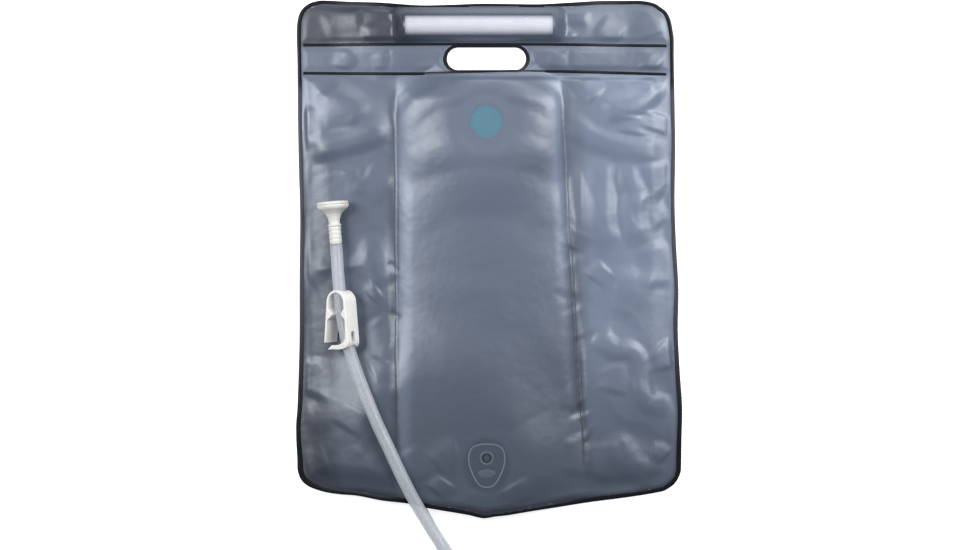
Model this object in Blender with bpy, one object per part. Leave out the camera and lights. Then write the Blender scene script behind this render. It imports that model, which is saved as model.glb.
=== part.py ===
"""Camp shower bag, lying flat with some air in it, as separate pieces.

The bag lies on its black back film, its clear front film up. The hand slot and the grip tube
are at +Y and the outlet is at -Y. Metres, +Z up, origin under the middle of the bag.
"""

import math

import bmesh
import bpy
import numpy as np
from mathutils import Matrix, Vector

# Gaps between pieces that touch, and the overrun of every cutter
GAP = 0.0003
CUT_OVERRUN = 0.004
MERGE = 0.000001

# Bag outline
BAG_WIDTH = 0.4044
BAG_LENGTH = 0.542
CORNER_RADIUS = 0.025
POINT_DROP = 0.031
POINT_RADIUS = 0.030
POINT_SHIFT_SHARE = -0.016
TOP_RIGHT_INSET = 0.009

# Films and the welds that join them
FILM = 0.0005
EDGE_WELD_WIDTH = 0.0046
LINE_WELD_WIDTH = 0.0032
LINE_WELD_THICKNESS = 0.0004
LINE_WELD_END_SHARE = 0.012
WELD_CHAMFER_SHARE = 0.3
SLEEVE_DEPTH = 0.045
CHAMBER_DEPTH = 0.075

# Hand slot between the two line welds
SLOT_WIDTH = 0.083
SLOT_HEIGHT = 0.0238
SLOT_SHIFT_SHARE = -0.008
SLOT_WELD_WIDTH = 0.0030

# Grip tube in the top sleeve
TUBE_LENGTH = 0.1554
TUBE_DIAMETER = 0.021
TUBE_WALL = 0.0015
TUBE_SHIFT_SHARE = -0.0275
TUBE_DEPTH = 0.025
TUBE_ROOM = 0.0006
SLEEVE_LEVEL = 0.0055
PUCKER_LENGTH = 0.014

# Air in the water chamber
PILLOW_RISE = 0.0215
PILLOW_LEFT_SHARE = -0.234
PILLOW_RIGHT_TOP_SHARE = 0.193
PILLOW_RIGHT_LOW_SHARE = 0.257
PILLOW_ARCH_SHARE = 0.34
PILLOW_YIELD_SHARE = 0.6
PILLOW_POWER_SHARE = 2.4
TUBE_POWER_SHARE = 2.2
SIDE_RISE = 0.0044
FOLD_RISE = 0.0014
EDGE_SLOPE = 0.035

# Filler: neck welded into the back film, seal and screw plug
FILLER_SHIFT_SHARE = -0.008
FILLER_DEPTH = 0.126
PLUG_RADIUS = 0.0179
PLUG_CLEARANCE = 0.0004
PLUG_CROWN = 0.0022
PLUG_WALL = 0.0035
PLUG_GRIP_RADIUS = 0.0230
PLUG_GRIP_THICKNESS = 0.0042
PLUG_BAR_WIDTH = 0.0060
PLUG_NOTCHES = 16
PLUG_NOTCH_RADIUS = 0.0018
NECK_WALL = 0.0028
NECK_FLANGE_WIDTH = 0.0080
NECK_FLANGE_THICKNESS = 0.0014
NECK_LENGTH = 0.0092
SEAL_THICKNESS = 0.0015

# Outlet: shield-shaped flange in the bag, seal and elbow under it
OUTLET_SHIFT_SHARE = -0.0072
OUTLET_HEIGHT = 0.063
SHIELD_WIDTH = 0.0400
SHIELD_LENGTH = 0.0473
SHIELD_FOOT = 0.0178
SHIELD_THICKNESS = 0.0014
SHIELD_RIM_WIDTH = 0.0014
SHIELD_RIM_RISE = 0.0008
BOSS_RADIUS = 0.0077
BOSS_RISE = 0.0022
BOSS_DROP_SHARE = 0.33
LENS_LENGTH = 0.0190
LENS_WIDTH = 0.0090
LENS_RISE = 0.0010
LENS_DROP_SHARE = 0.67
SPIGOT_RADIUS = 0.0050
SPIGOT_BORE = 0.0032
SPIGOT_CLEARANCE = 0.0002
ELBOW_RADIUS = 0.0078
ELBOW_ARM_RADIUS = 0.0054
ELBOW_ARM_LENGTH = 0.0197
ELBOW_HEADING = math.radians(94)
OUTLET_SEAL_RADIUS = 0.0082
OUTLET_SEAL_THICKNESS = 0.0010

# Hose
HOSE_DIAMETER = 0.0130
HOSE_FLOOR_GAP = 0.0001
HOSE_POINTS = 78
HOSE_ROUTE = (
    (-0.1606, 0.0161, 0.0233), (-0.1596, 0.0031, 0.0234), (-0.1586, -0.0140, 0.0237),
    (-0.1569, -0.0329, 0.0241), (-0.1543, -0.0592, 0.0252), (-0.1508, -0.0770, 0.0272),
    (-0.1468, -0.0928, 0.0290), (-0.1394, -0.1159, 0.0288), (-0.1294, -0.1421, 0.0278),
    (-0.1188, -0.1684, 0.0272), (-0.1056, -0.1967, 0.0270), (-0.0920, -0.2261, 0.0260),
    (-0.0757, -0.2576, 0.0232), (-0.0615, -0.2812, 0.0208), (-0.0484, -0.3022, 0.0202),
    (-0.0362, -0.3273, 0.0190), (-0.0354, -0.3460, 0.0140), (-0.0413, -0.3670, 0.0089),
    (-0.0476, -0.3912, 0.0071), (-0.0395, -0.4179, 0.0066), (-0.0190, -0.4370, 0.0066),
    (0.0082, -0.4432, 0.0066), (0.0350, -0.4351, 0.0066), (0.0540, -0.4146, 0.0066),
    (0.0603, -0.3874, 0.0066), (0.0521, -0.3606, 0.0066), (0.0317, -0.3416, 0.0066),
    (0.0045, -0.3353, 0.0066), (-0.0270, -0.3262, 0.0066), (-0.0484, -0.3022, 0.0066),
    (-0.0757, -0.2576, 0.0066), (-0.0925, -0.2290, 0.0066),
    (-0.1060, -0.1975, 0.0066), (-0.1025, -0.1688, 0.0066), (-0.0853, -0.1485, 0.0066),
    (-0.0598, -0.1397, 0.0066), (-0.0334, -0.1449, 0.0066), (-0.0131, -0.1625, 0.0066),
    (-0.0052, -0.1769, 0.0066), (-0.0043, -0.1880, 0.0066),
)

# Room under the bag for the filler, the outlet and the hose
LIFT_FALL = 0.060
LIFT_MARGIN = 0.006
LOOP_CENTRE = (-0.0562, -0.1916)
LOOP_RADIUS = 0.0520
HOSE_LIFT_ROOM = 0.0006
OUTLET_ROOM_SHARE = 0.6

# Shower head
HEAD_FACE = (-0.1642, 0.0616)
HEAD_HEADING = math.radians(-85.51)
HEAD_LENGTH = 0.0453
HEAD_RADIUS = 0.0166
HEAD_NECK_RADIUS = 0.0059
HEAD_COLLAR_RADIUS = 0.0073
HEAD_BARB_RADIUS = 0.0067
HEAD_STEM_RADIUS = 0.0061
HEAD_BORE = 0.0040
HEAD_WALL = 0.0018
HEAD_BARBS = 4
ROSE_THICKNESS = 0.0038
ROSE_CROWN = 0.0010
ROSE_HOLE_RADIUS = 0.0007
ROSE_HOLE_RINGS = 3
ROSE_SEAL_THICKNESS = 0.0010

# Pinch clamp: p runs across the arms, q from the bend to the foot, w along the strip's width
CLAMP_TOP = (-0.1555, -0.0319)
CLAMP_ROLL = math.radians(40)
CLAMP_HEADING = math.radians(-88.0)
CLAMP_LENGTH = 0.0605
CLAMP_WIDTH = 0.0180
CLAMP_STRIP = 0.0030
CLAMP_BEND_INSIDE = 0.0100
CLAMP_FOOT_INSIDE = 0.0150
CLAMP_NUB_DOWN = 0.0250
CLAMP_NUB_LONG = 0.0120
CLAMP_NUB_ROOM = 0.0006
CLAMP_HOSE_ACROSS = 0.0002
CLAMP_HINGE_ACROSS = -0.0017
CLAMP_FREE_SHORTFALL = 0.0062
CLAMP_HOOK_REACH = 0.0150
CLAMP_LIP_RISE = 0.0018
CLAMP_HOLE_ROOM = 0.0010
CLAMP_FOOT_HOLE_ACROSS = 0.0072
CLAMP_FOOT_HOLE_ASIDE = 0.0010
CLAMP_WINDOW_LENGTH = 0.0085
CLAMP_WINDOW_WIDTH = 0.0050
CLAMP_WINDOW_UP = 0.0125

# Round pieces
SEGMENTS = 32
SMALL_SEGMENTS = 12

# The exact solver loses these thin closed sheets, so the films are cut with the manifold one
FILM_SOLVER = "MANIFOLD"

# Places that follow from the sizes above
TWO_FILMS = 2 * FILM + LINE_WELD_THICKNESS + 2 * GAP
HOSE_RADIUS = HOSE_DIAMETER / 2
SLOT_CENTRE = (SLOT_SHIFT_SHARE * BAG_WIDTH, BAG_LENGTH / 2 - (SLEEVE_DEPTH + CHAMBER_DEPTH) / 2)
TUBE_CENTRE = (TUBE_SHIFT_SHARE * BAG_WIDTH, BAG_LENGTH / 2 - TUBE_DEPTH)
FILLER_CENTRE = (FILLER_SHIFT_SHARE * BAG_WIDTH, BAG_LENGTH / 2 - FILLER_DEPTH)
OUTLET_CENTRE = (OUTLET_SHIFT_SHARE * BAG_WIDTH, -BAG_LENGTH / 2 + OUTLET_HEIGHT)
NECK_BORE = PLUG_RADIUS + PLUG_CLEARANCE
NECK_RADIUS = NECK_BORE + NECK_WALL
SEAL_TOP = PLUG_GRIP_THICKNESS + SEAL_THICKNESS + 2 * GAP
FILLER_LIFT = SEAL_TOP + NECK_LENGTH - GAP - FILM
HOSE_LEVEL = HOSE_RADIUS + HOSE_FLOOR_GAP
HOSE_LIFT = HOSE_LEVEL + HOSE_RADIUS + HOSE_LIFT_ROOM
SIDE_TOP = TWO_FILMS + SIDE_RISE
HEAD_LEVEL = SIDE_TOP + HEAD_RADIUS + GAP


def smooth_step(share):
    """0 below 0, 1 above 1, and a smooth S between them."""
    share = np.clip(share, 0, 1)
    return share * share * (3 - 2 * share)


def distance_to_segment(x, y, start, end):
    """The distance in plan from each (x, y) to a straight segment."""
    along_x, along_y = end[0] - start[0], end[1] - start[1]
    squared = along_x**2 + along_y**2
    share = np.clip(((x - start[0]) * along_x + (y - start[1]) * along_y) / squared, 0, 1)
    return np.hypot(x - start[0] - share * along_x, y - start[1] - share * along_y)


def sleeve_share(x, y):
    """1 along the grip tube's middle, 0 at the welds beside it and past its ends."""
    above, below = TUBE_DEPTH - EDGE_WELD_WIDTH, SLEEVE_DEPTH - LINE_WELD_WIDTH / 2 - TUBE_DEPTH
    across = np.where(y > TUBE_CENTRE[1], (y - TUBE_CENTRE[1]) / above, (TUBE_CENTRE[1] - y) / below)
    past = np.abs(x - TUBE_CENTRE[0]) - TUBE_LENGTH / 2
    return (1 - np.clip(across, 0, 1) ** TUBE_POWER_SHARE) * (1 - smooth_step(past / PUCKER_LENGTH))


def lift(x, y):
    """Height of the weld plane over the floor: the films rise over what lies under them."""
    past_tube = distance_to_segment(
        x, y,
        (TUBE_CENTRE[0] - TUBE_LENGTH / 2, TUBE_CENTRE[1]),
        (TUBE_CENTRE[0] + TUBE_LENGTH / 2, TUBE_CENTRE[1]),
    ) - TUBE_DEPTH
    past_filler = np.hypot(x - FILLER_CENTRE[0], y - FILLER_CENTRE[1])
    past_filler = past_filler - NECK_RADIUS - NECK_FLANGE_WIDTH - LIFT_MARGIN
    past_loop = np.hypot(x - LOOP_CENTRE[0], y - LOOP_CENTRE[1]) - LOOP_RADIUS - HOSE_DIAMETER
    past_outlet = np.hypot(x - OUTLET_CENTRE[0], y - OUTLET_CENTRE[1] + LIFT_MARGIN)
    past_outlet = past_outlet - SHIELD_LENGTH * OUTLET_ROOM_SHARE
    past_exit = distance_to_segment(x, y, HOSE_ROUTE[-9], HOSE_ROUTE[-11]) - HOSE_RADIUS - LIFT_MARGIN
    past_hose = np.minimum(np.minimum(past_loop, past_outlet), past_exit)
    parts = (
        SLEEVE_LEVEL * (1 - smooth_step(past_tube / LIFT_FALL)),
        FILLER_LIFT * (1 - smooth_step(past_filler / LIFT_FALL)),
        HOSE_LIFT * (1 - smooth_step(past_hose / LIFT_FALL)),
    )
    return np.maximum(np.maximum(parts[0], parts[1]), parts[2])


def edge_share(x, y):
    """0 at the chamber's welds, 1 well inside them."""
    past_top = BAG_LENGTH / 2 - CHAMBER_DEPTH - y
    past_side = BAG_WIDTH / 2 - EDGE_WELD_WIDTH - np.abs(x)
    side = BAG_WIDTH / 2
    low_edge = -BAG_LENGTH / 2 + POINT_DROP * np.abs(x) / side + EDGE_WELD_WIDTH
    past_low = y - low_edge
    nearest = np.minimum(np.minimum(past_top, past_side), past_low)
    return smooth_step(nearest / EDGE_SLOPE)


def fill(x, y):
    """Height of the air between the films in the water chamber."""
    down_share = np.clip((BAG_LENGTH / 2 - y) / BAG_LENGTH, 0, 1)
    left = PILLOW_LEFT_SHARE * BAG_WIDTH
    right_share = PILLOW_RIGHT_TOP_SHARE + (PILLOW_RIGHT_LOW_SHARE - PILLOW_RIGHT_TOP_SHARE) * down_share
    right = right_share * BAG_WIDTH
    middle, half = (left + right) / 2, (right - left) / 2
    across = np.abs(x - middle) / half
    top = BAG_LENGTH / 2 - CHAMBER_DEPTH
    from_top = np.clip((top - y) / (PILLOW_ARCH_SHARE * BAG_WIDTH), 0, 1)
    from_foot = np.clip((y + BAG_LENGTH / 2) / (PILLOW_ARCH_SHARE * BAG_LENGTH), 0, 1)
    arch = np.sqrt(1 - (1 - from_top) ** 2) * smooth_step(from_foot)
    pushed = 1 - PILLOW_YIELD_SHARE * lift(x, y) / PILLOW_RISE
    pillow = PILLOW_RISE * np.clip(1 - across**PILLOW_POWER_SHARE, 0, 1) * arch * pushed
    beside = np.clip((np.abs(x - middle) - half) / (BAG_WIDTH / 2 - half), 0, 1)
    side = FOLD_RISE + (SIDE_RISE - FOLD_RISE) * np.sin(math.pi * np.sqrt(beside))
    settled = np.where(across < 1, FOLD_RISE, side)
    return (pillow + settled) * edge_share(x, y)


def front_underside(x, y):
    """Underside of the front film."""
    tube_top = FILM + GAP + TUBE_DIAMETER + TUBE_ROOM
    open_height = tube_top - SLEEVE_LEVEL
    above = LINE_WELD_THICKNESS + 2 * GAP + fill(x, y)
    return lift(x, y) + FILM + above + open_height * sleeve_share(x, y)


def back_underside(x, y):
    """Underside of the back film: on the floor, but where something lies under it."""
    return lift(x, y) * (1 - sleeve_share(x, y))


def new_object(name, mesh_or_curve, colour, roughness, alpha=1.0):
    """An object of its own material, linked to the scene."""
    obj = bpy.data.objects.new(name, mesh_or_curve)
    bpy.context.scene.collection.objects.link(obj)
    material = bpy.data.materials.new(name + "_material")
    material.use_nodes = True
    shader = material.node_tree.nodes["Principled BSDF"]
    shader.inputs["Base Color"].default_value = (*colour, 1)
    shader.inputs["Roughness"].default_value = roughness
    shader.inputs["Metallic"].default_value = 0
    shader.inputs["Alpha"].default_value = alpha
    obj.data.materials.append(material)
    return obj


def mesh_of(name, bm, smooth=False):
    """A mesh with outward faces from a bmesh, which is freed."""
    bmesh.ops.recalc_face_normals(bm, faces=bm.faces)
    mesh = bpy.data.meshes.new(name)
    bm.to_mesh(mesh)
    bm.free()
    if smooth:
        mesh.shade_smooth()
        mesh.set_sharp_from_angle(angle=math.radians(35))
    return mesh


def cutter(name, mesh):
    """A hidden helper for Booleans."""
    obj = bpy.data.objects.new(name, mesh)
    bpy.context.scene.collection.objects.link(obj)
    obj.hide_render = True
    obj.display_type = "WIRE"
    return obj


def combine(obj, operation, *others, solver="EXACT"):
    """Adds one Boolean for each helper."""
    for other in others:
        modifier = obj.modifiers.new(other.name, "BOOLEAN")
        modifier.operation = operation
        modifier.solver = solver
        modifier.object = other


def prism_mesh(name, outline, low, high):
    """An outline of (x, y) points carried straight up from low to high."""
    bm = bmesh.new()
    face = bm.faces.new([bm.verts.new((x, y, low)) for x, y in outline])
    grown = bmesh.ops.extrude_face_region(bm, geom=[face])
    risen = [item for item in grown["geom"] if isinstance(item, bmesh.types.BMVert)]
    bmesh.ops.translate(bm, verts=risen, vec=(0, 0, high - low))
    return mesh_of(name, bm)


def turned_mesh(name, profile, segments=SEGMENTS):
    """A closed profile of (radius, height) points turned about Z."""
    bm = bmesh.new()
    points = [bm.verts.new((radius, 0, height)) for radius, height in profile]
    edges = [bm.edges.new((a, b)) for a, b in zip(points, points[1:])]
    if profile[0][0] > 0:
        edges.append(bm.edges.new((points[-1], points[0])))
    bmesh.ops.spin(
        bm, geom=points + edges, cent=(0, 0, 0), axis=(0, 0, 1), dvec=(0, 0, 0),
        angle=2 * math.pi, steps=segments, use_merge=True,
    )
    bmesh.ops.remove_doubles(bm, verts=bm.verts, dist=MERGE)
    return mesh_of(name, bm, smooth=True)


def circle(centre, radius, segments):
    """Points round a circle."""
    angles = [2 * math.pi * k / segments for k in range(segments)]
    return [(centre[0] + radius * math.cos(a), centre[1] + radius * math.sin(a)) for a in angles]


def stadium(centre, width, height, steps=10):
    """Points round a slot with half-round ends."""
    radius = height / 2
    reach = width / 2 - radius
    points = []
    for side, first in ((1, -math.pi / 2), (-1, math.pi / 2)):
        for k in range(steps + 1):
            angle = first + math.pi * k / steps
            x = centre[0] + side * reach + radius * math.cos(angle)
            points.append((x, centre[1] + radius * math.sin(angle)))
    return points


def inset_corners(corners, distance):
    """The corners of a polygon whose sides are moved inwards; corners run anticlockwise."""
    lines = []
    for a, b in zip(corners, corners[1:] + corners[:1]):
        along = (Vector(b) - Vector(a)).normalized()
        inwards = Vector((-along.y, along.x))
        lines.append((Vector(a) + inwards * distance, along))
    found = []
    for (p, u), (q, v) in zip(lines[-1:] + lines[:-1], lines):
        share = (q - p).cross(v) / u.cross(v)
        found.append(tuple(p + u * share))
    return found


def rounded(corners, radii, steps=8):
    """A polygon with each corner rounded by an arc of its own radius."""
    points = []
    count = len(corners)
    for k, radius in enumerate(radii):
        here = Vector(corners[k])
        before = (Vector(corners[k - 1]) - here).normalized()
        after = (Vector(corners[(k + 1) % count]) - here).normalized()
        half = before.angle(after) / 2
        reach = radius / math.tan(half)
        centre = here + (before + after).normalized() * radius / math.sin(half)
        start = here + before * reach - centre
        turn = math.pi - 2 * half
        for step in range(steps + 1):
            angle = turn * step / steps
            spun = Matrix.Rotation(angle, 2) @ start
            points.append(tuple(centre + spun))
    return points


def bag_outline(inset=0.0, steps=8):
    """The bag's outline, moved inwards, anticlockwise from the top left corner."""
    half, top = BAG_WIDTH / 2, BAG_LENGTH / 2
    shoulder = -top + POINT_DROP
    corners = [
        (-half, top), (-half, shoulder),
        (POINT_SHIFT_SHARE * BAG_WIDTH, -top - POINT_RADIUS * 0.013),
        (half, shoulder), (half - TOP_RIGHT_INSET, top),
    ]
    radii = [CORNER_RADIUS, CORNER_RADIUS, POINT_RADIUS, CORNER_RADIUS, CORNER_RADIUS]
    if inset:
        corners = inset_corners(corners, inset)
    return rounded(corners, [radius - inset for radius in radii], steps)


def spread(points, longest):
    """The same closed outline with extra points, so that no side is longer than longest."""
    found = []
    for a, b in zip(points, points[1:] + points[:1]):
        count = max(1, math.ceil(math.dist(a, b) / longest))
        for k in range(count):
            share = k / count
            found.append((a[0] + (b[0] - a[0]) * share, a[1] + (b[1] - a[1]) * share))
    return found


def film_lines():
    """The grid lines of both films, closer together at the tube, its ends and the welds."""
    margin = EDGE_WELD_WIDTH
    left, right = -BAG_WIDTH / 2 - margin, BAG_WIDTH / 2 + margin
    tube_left, tube_right = TUBE_CENTRE[0] - TUBE_LENGTH / 2, TUBE_CENTRE[0] + TUBE_LENGTH / 2
    across = np.concatenate([
        np.linspace(left, tube_left - PUCKER_LENGTH, 5)[:-1],
        np.linspace(tube_left - PUCKER_LENGTH, tube_left, 3)[:-1],
        np.linspace(tube_left, tube_right, 8)[:-1],
        np.linspace(tube_right, tube_right + PUCKER_LENGTH, 3)[:-1],
        np.linspace(tube_right + PUCKER_LENGTH, right, 5),
    ])
    top, low, half = BAG_LENGTH / 2, -BAG_LENGTH / 2, LINE_WELD_WIDTH / 2
    up = np.concatenate([
        np.linspace(low - margin, top - CHAMBER_DEPTH - half, 19),
        np.linspace(top - CHAMBER_DEPTH + half, top - SLEEVE_DEPTH - half, 3),
        np.linspace(top - SLEEVE_DEPTH + half, top - EDGE_WELD_WIDTH, 8),
        [top + margin],
    ])
    return across, up


def sheet_mesh(name, underside, thickness):
    """A sheet over the whole grid: its underside is worked out at each crossing."""
    across, up = film_lines()
    x, y = np.meshgrid(across, up)
    low = underside(x, y)
    bm = bmesh.new()
    rows = []
    for level in (low, low + thickness):
        rows.append([[bm.verts.new(point) for point in zip(*line)] for line in zip(x, y, level)])
    bottom, top = rows
    last_row, last_column = len(up) - 1, len(across) - 1
    for j in range(last_row):
        for k in range(last_column):
            for row, turn in ((bottom, -1), (top, 1)):
                bm.faces.new([row[j][k], row[j][k + 1], row[j + 1][k + 1]][::turn])
                bm.faces.new([row[j][k], row[j + 1][k + 1], row[j + 1][k]][::turn])
    for j in range(last_row):
        bm.faces.new([bottom[j][0], top[j][0], top[j + 1][0], bottom[j + 1][0]][::-1])
        bm.faces.new([bottom[j][-1], top[j][-1], top[j + 1][-1], bottom[j + 1][-1]])
    for k in range(last_column):
        bm.faces.new([bottom[0][k], top[0][k], top[0][k + 1], bottom[0][k + 1]])
        bm.faces.new([bottom[-1][k], top[-1][k], top[-1][k + 1], bottom[-1][k + 1]][::-1])
    return mesh_of(name, bm, smooth=True)


def band_mesh(name, outer, inner, rise, thickness, chamfer):
    """A closed band between two outlines of as many points, following the weld plane."""
    bm = bmesh.new()
    outer, inner = np.array(outer), np.array(inner)
    width = inner - outer
    inset = width * chamfer / np.hypot(*width.T)[:, None]
    shapes = (
        (outer, 0), (outer, thickness - chamfer), (outer + inset, thickness),
        (inner - inset, thickness), (inner, thickness - chamfer), (inner, 0),
    )
    loops = []
    for places, level in shapes:
        height = rise(places[:, 0], places[:, 1]) + level
        loops.append([bm.verts.new((x, y, z)) for (x, y), z in zip(places, height)])
    count = len(outer)
    for first, second in zip(loops, loops[1:] + loops[:1]):
        for k in range(count):
            after = (k + 1) % count
            bm.faces.new([first[k], first[after], second[after], second[k]])
    return mesh_of(name, bm)


def flat_span(outline, low, high):
    """A tall prism on an outline, for cutting sheets."""
    return prism_mesh("span", outline, low - CUT_OVERRUN, high + CUT_OVERRUN)


def make_films():
    """The two films, cut to the inside of the edge weld. Returns the cutter of the slot."""
    sheet_outline = bag_outline(EDGE_WELD_WIDTH + GAP)
    room = SLOT_WELD_WIDTH + GAP
    slot_outline = stadium(SLOT_CENTRE, SLOT_WIDTH + 2 * room, SLOT_HEIGHT + 2 * room)
    tall = PILLOW_RISE + FILLER_LIFT + TUBE_DIAMETER
    trim = cutter("film_trim", flat_span(sheet_outline, 0, tall))
    slot = cutter("film_slot", flat_span(slot_outline, 0, tall))
    front = new_object(
        "front_panel", sheet_mesh("front_panel", front_underside, FILM),
        (0.16, 0.19, 0.24), 0.35, 0.55,
    )
    combine(front, "INTERSECT", trim, solver=FILM_SOLVER)
    combine(front, "DIFFERENCE", slot, solver=FILM_SOLVER)
    back = new_object(
        "back_panel", sheet_mesh("back_panel", back_underside, FILM), (0.012, 0.013, 0.016), 0.4,
    )
    filler_hole = circle(FILLER_CENTRE, NECK_RADIUS + GAP, SEGMENTS)
    outlet_hole = circle(OUTLET_CENTRE, SPIGOT_RADIUS + GAP, SMALL_SEGMENTS)
    combine(back, "INTERSECT", trim, solver=FILM_SOLVER)
    combine(
        back, "DIFFERENCE", slot,
        cutter("film_filler_hole", flat_span(filler_hole, 0, tall)),
        cutter("film_outlet_hole", flat_span(outlet_hole, 0, tall)),
        solver=FILM_SOLVER,
    )
    return slot


def make_welds(slot):
    """The fused rim, the ring round the hand slot and the two line welds, which slot cuts."""
    dark, gloss = (0.012, 0.016, 0.026), 0.25
    longest = LIFT_FALL / 3
    outer = spread(bag_outline(), longest)
    inner = []
    whole, inset = bag_outline(), bag_outline(EDGE_WELD_WIDTH)
    for a, b, c, d in zip(whole, whole[1:] + whole[:1], inset, inset[1:] + inset[:1]):
        count = max(1, math.ceil(math.dist(a, b) / longest))
        for k in range(count):
            share = k / count
            inner.append((c[0] + (d[0] - c[0]) * share, c[1] + (d[1] - c[1]) * share))
    chamfer = WELD_CHAMFER_SHARE * TWO_FILMS
    new_object(
        "edge_weld", band_mesh("edge_weld", outer, inner, lift, TWO_FILMS, chamfer), dark, gloss
    )
    whole = stadium(SLOT_CENTRE, SLOT_WIDTH + 2 * SLOT_WELD_WIDTH, SLOT_HEIGHT + 2 * SLOT_WELD_WIDTH)
    hole = stadium(SLOT_CENTRE, SLOT_WIDTH, SLOT_HEIGHT)
    new_object(
        "slot_weld", band_mesh("slot_weld", whole, hole, lift, TWO_FILMS, chamfer), dark, gloss
    )
    for name, depth in (("sleeve_weld", SLEEVE_DEPTH), ("chamber_weld", CHAMBER_DEPTH)):
        line = new_object(name, line_weld_mesh(name, BAG_LENGTH / 2 - depth), dark, gloss)
        combine(line, "DIFFERENCE", slot, solver=FILM_SOLVER)


def line_weld_mesh(name, along_y):
    """A strip between the films that follows their grid, so that it lies midway between them."""
    across, _ = film_lines()
    margin = LINE_WELD_END_SHARE * BAG_WIDTH + EDGE_WELD_WIDTH
    reach = BAG_WIDTH / 2 - margin
    inside = across[(across > -reach) & (across < reach - TOP_RIGHT_INSET)]
    bm = bmesh.new()
    stations = []
    for x in inside:
        sides = []
        for side in (-1, 1):
            y = along_y + side * LINE_WELD_WIDTH / 2
            low = float(back_underside(np.array(x), np.array(y))) + FILM + GAP
            for level in (low, low + LINE_WELD_THICKNESS):
                sides.append(bm.verts.new((x, y, level)))
        stations.append([sides[0], sides[2], sides[3], sides[1]])
    for before, after in zip(stations, stations[1:]):
        for k in range(4):
            low_before, high_before, high_after, low_after = (
                before[k], before[(k + 1) % 4], after[(k + 1) % 4], after[k]
            )
            if k == 2:
                bm.faces.new([low_before, high_before, low_after])
                bm.faces.new([high_before, high_after, low_after])
            else:
                bm.faces.new([low_before, high_before, high_after])
                bm.faces.new([low_before, high_after, low_after])
    bm.faces.new(stations[0])
    bm.faces.new(stations[-1][::-1])
    return mesh_of(name, bm)


def make_grip_tube():
    """The rigid tube in the top sleeve, open at both ends."""
    outside, inside = TUBE_DIAMETER / 2, TUBE_DIAMETER / 2 - TUBE_WALL
    half = TUBE_LENGTH / 2
    profile = [(inside, -half), (outside, -half), (outside, half), (inside, half)]
    tube = new_object(
        "grip_tube", turned_mesh("grip_tube", profile, SEGMENTS * 3 // 4), (0.78, 0.78, 0.84), 0.4
    )
    tube.location = (*TUBE_CENTRE, FILM + GAP + outside)
    tube.rotation_euler = (0, math.pi / 2, 0)


def make_filler():
    """The neck in the back film, its seal and the teal screw plug."""
    sheet_top = FILLER_LIFT + FILM + GAP
    flange_top = sheet_top + NECK_FLANGE_THICKNESS
    neck_profile = [
        (NECK_BORE, SEAL_TOP), (NECK_RADIUS, SEAL_TOP), (NECK_RADIUS, sheet_top),
        (NECK_RADIUS + NECK_FLANGE_WIDTH, sheet_top),
        (NECK_RADIUS + NECK_FLANGE_WIDTH, flange_top), (NECK_BORE, flange_top),
    ]
    neck = new_object("filler_neck", turned_mesh("filler_neck", neck_profile), (0.02, 0.022, 0.026), 0.4)
    neck.location = (*FILLER_CENTRE, 0)
    seal_low = PLUG_GRIP_THICKNESS + GAP
    seal_profile = [
        (PLUG_RADIUS + GAP, seal_low), (NECK_RADIUS, seal_low),
        (NECK_RADIUS, seal_low + SEAL_THICKNESS), (PLUG_RADIUS + GAP, seal_low + SEAL_THICKNESS),
    ]
    seal = new_object("filler_gasket", turned_mesh("filler_gasket", seal_profile), (0.05, 0.05, 0.05), 0.7)
    seal.location = (*FILLER_CENTRE, 0)
    hollow = PLUG_RADIUS - PLUG_WALL
    crown_low = flange_top - PLUG_CROWN
    plug_profile = [
        (0, flange_top), (PLUG_RADIUS, flange_top), (PLUG_RADIUS, PLUG_GRIP_THICKNESS),
        (PLUG_GRIP_RADIUS, PLUG_GRIP_THICKNESS), (PLUG_GRIP_RADIUS, 0),
        (hollow, 0), (hollow, crown_low), (0, crown_low),
    ]
    plug = new_object("filler_cap", turned_mesh("filler_cap", plug_profile), (0.003, 0.135, 0.175), 0.35)
    plug.location = (*FILLER_CENTRE, 0)
    bar_half = hollow + PLUG_WALL / 2
    bar = [
        (-bar_half, -PLUG_BAR_WIDTH / 2), (bar_half, -PLUG_BAR_WIDTH / 2),
        (bar_half, PLUG_BAR_WIDTH / 2), (-bar_half, PLUG_BAR_WIDTH / 2),
    ]
    bar_low = PLUG_BAR_WIDTH / 6
    grip_bar = cutter("plug_bar", prism_mesh("plug_bar", bar, bar_low, crown_low + PLUG_CROWN / 2))
    grip_bar.location = plug.location
    combine(plug, "UNION", grip_bar)
    for k in range(PLUG_NOTCHES):
        angle = 2 * math.pi * (k + 0.5) / PLUG_NOTCHES
        place = (PLUG_GRIP_RADIUS * math.cos(angle), PLUG_GRIP_RADIUS * math.sin(angle))
        notch = circle(place, PLUG_NOTCH_RADIUS, SMALL_SEGMENTS // 2)
        low, high = -CUT_OVERRUN, PLUG_GRIP_THICKNESS + CUT_OVERRUN
        helper = cutter(f"plug_notch_{k}", prism_mesh("plug_notch", notch, low, high))
        helper.location = plug.location
        combine(plug, "DIFFERENCE", helper)


def shield_outline(inset=0.0):
    """The outlet flange: wide and round at the top, drawn in to a short flat foot."""
    top, foot = SHIELD_LENGTH * BOSS_DROP_SHARE, -SHIELD_LENGTH * (1 - BOSS_DROP_SHARE)
    half, low = SHIELD_WIDTH / 2, SHIELD_FOOT / 2
    corners = [
        (-half, top), (-half, foot * 0.25), (-low, foot), (low, foot), (half, foot * 0.25), (half, top),
    ]
    if inset:
        corners = inset_corners(corners, inset)
    wide, small = SHIELD_WIDTH * 0.3, SHIELD_WIDTH * 0.06
    bend = SHIELD_WIDTH * 0.25
    radii = [wide, bend, small, small, bend, wide]
    return rounded(corners, [max(radius - inset, small / 2) for radius in radii], 5)


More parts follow.
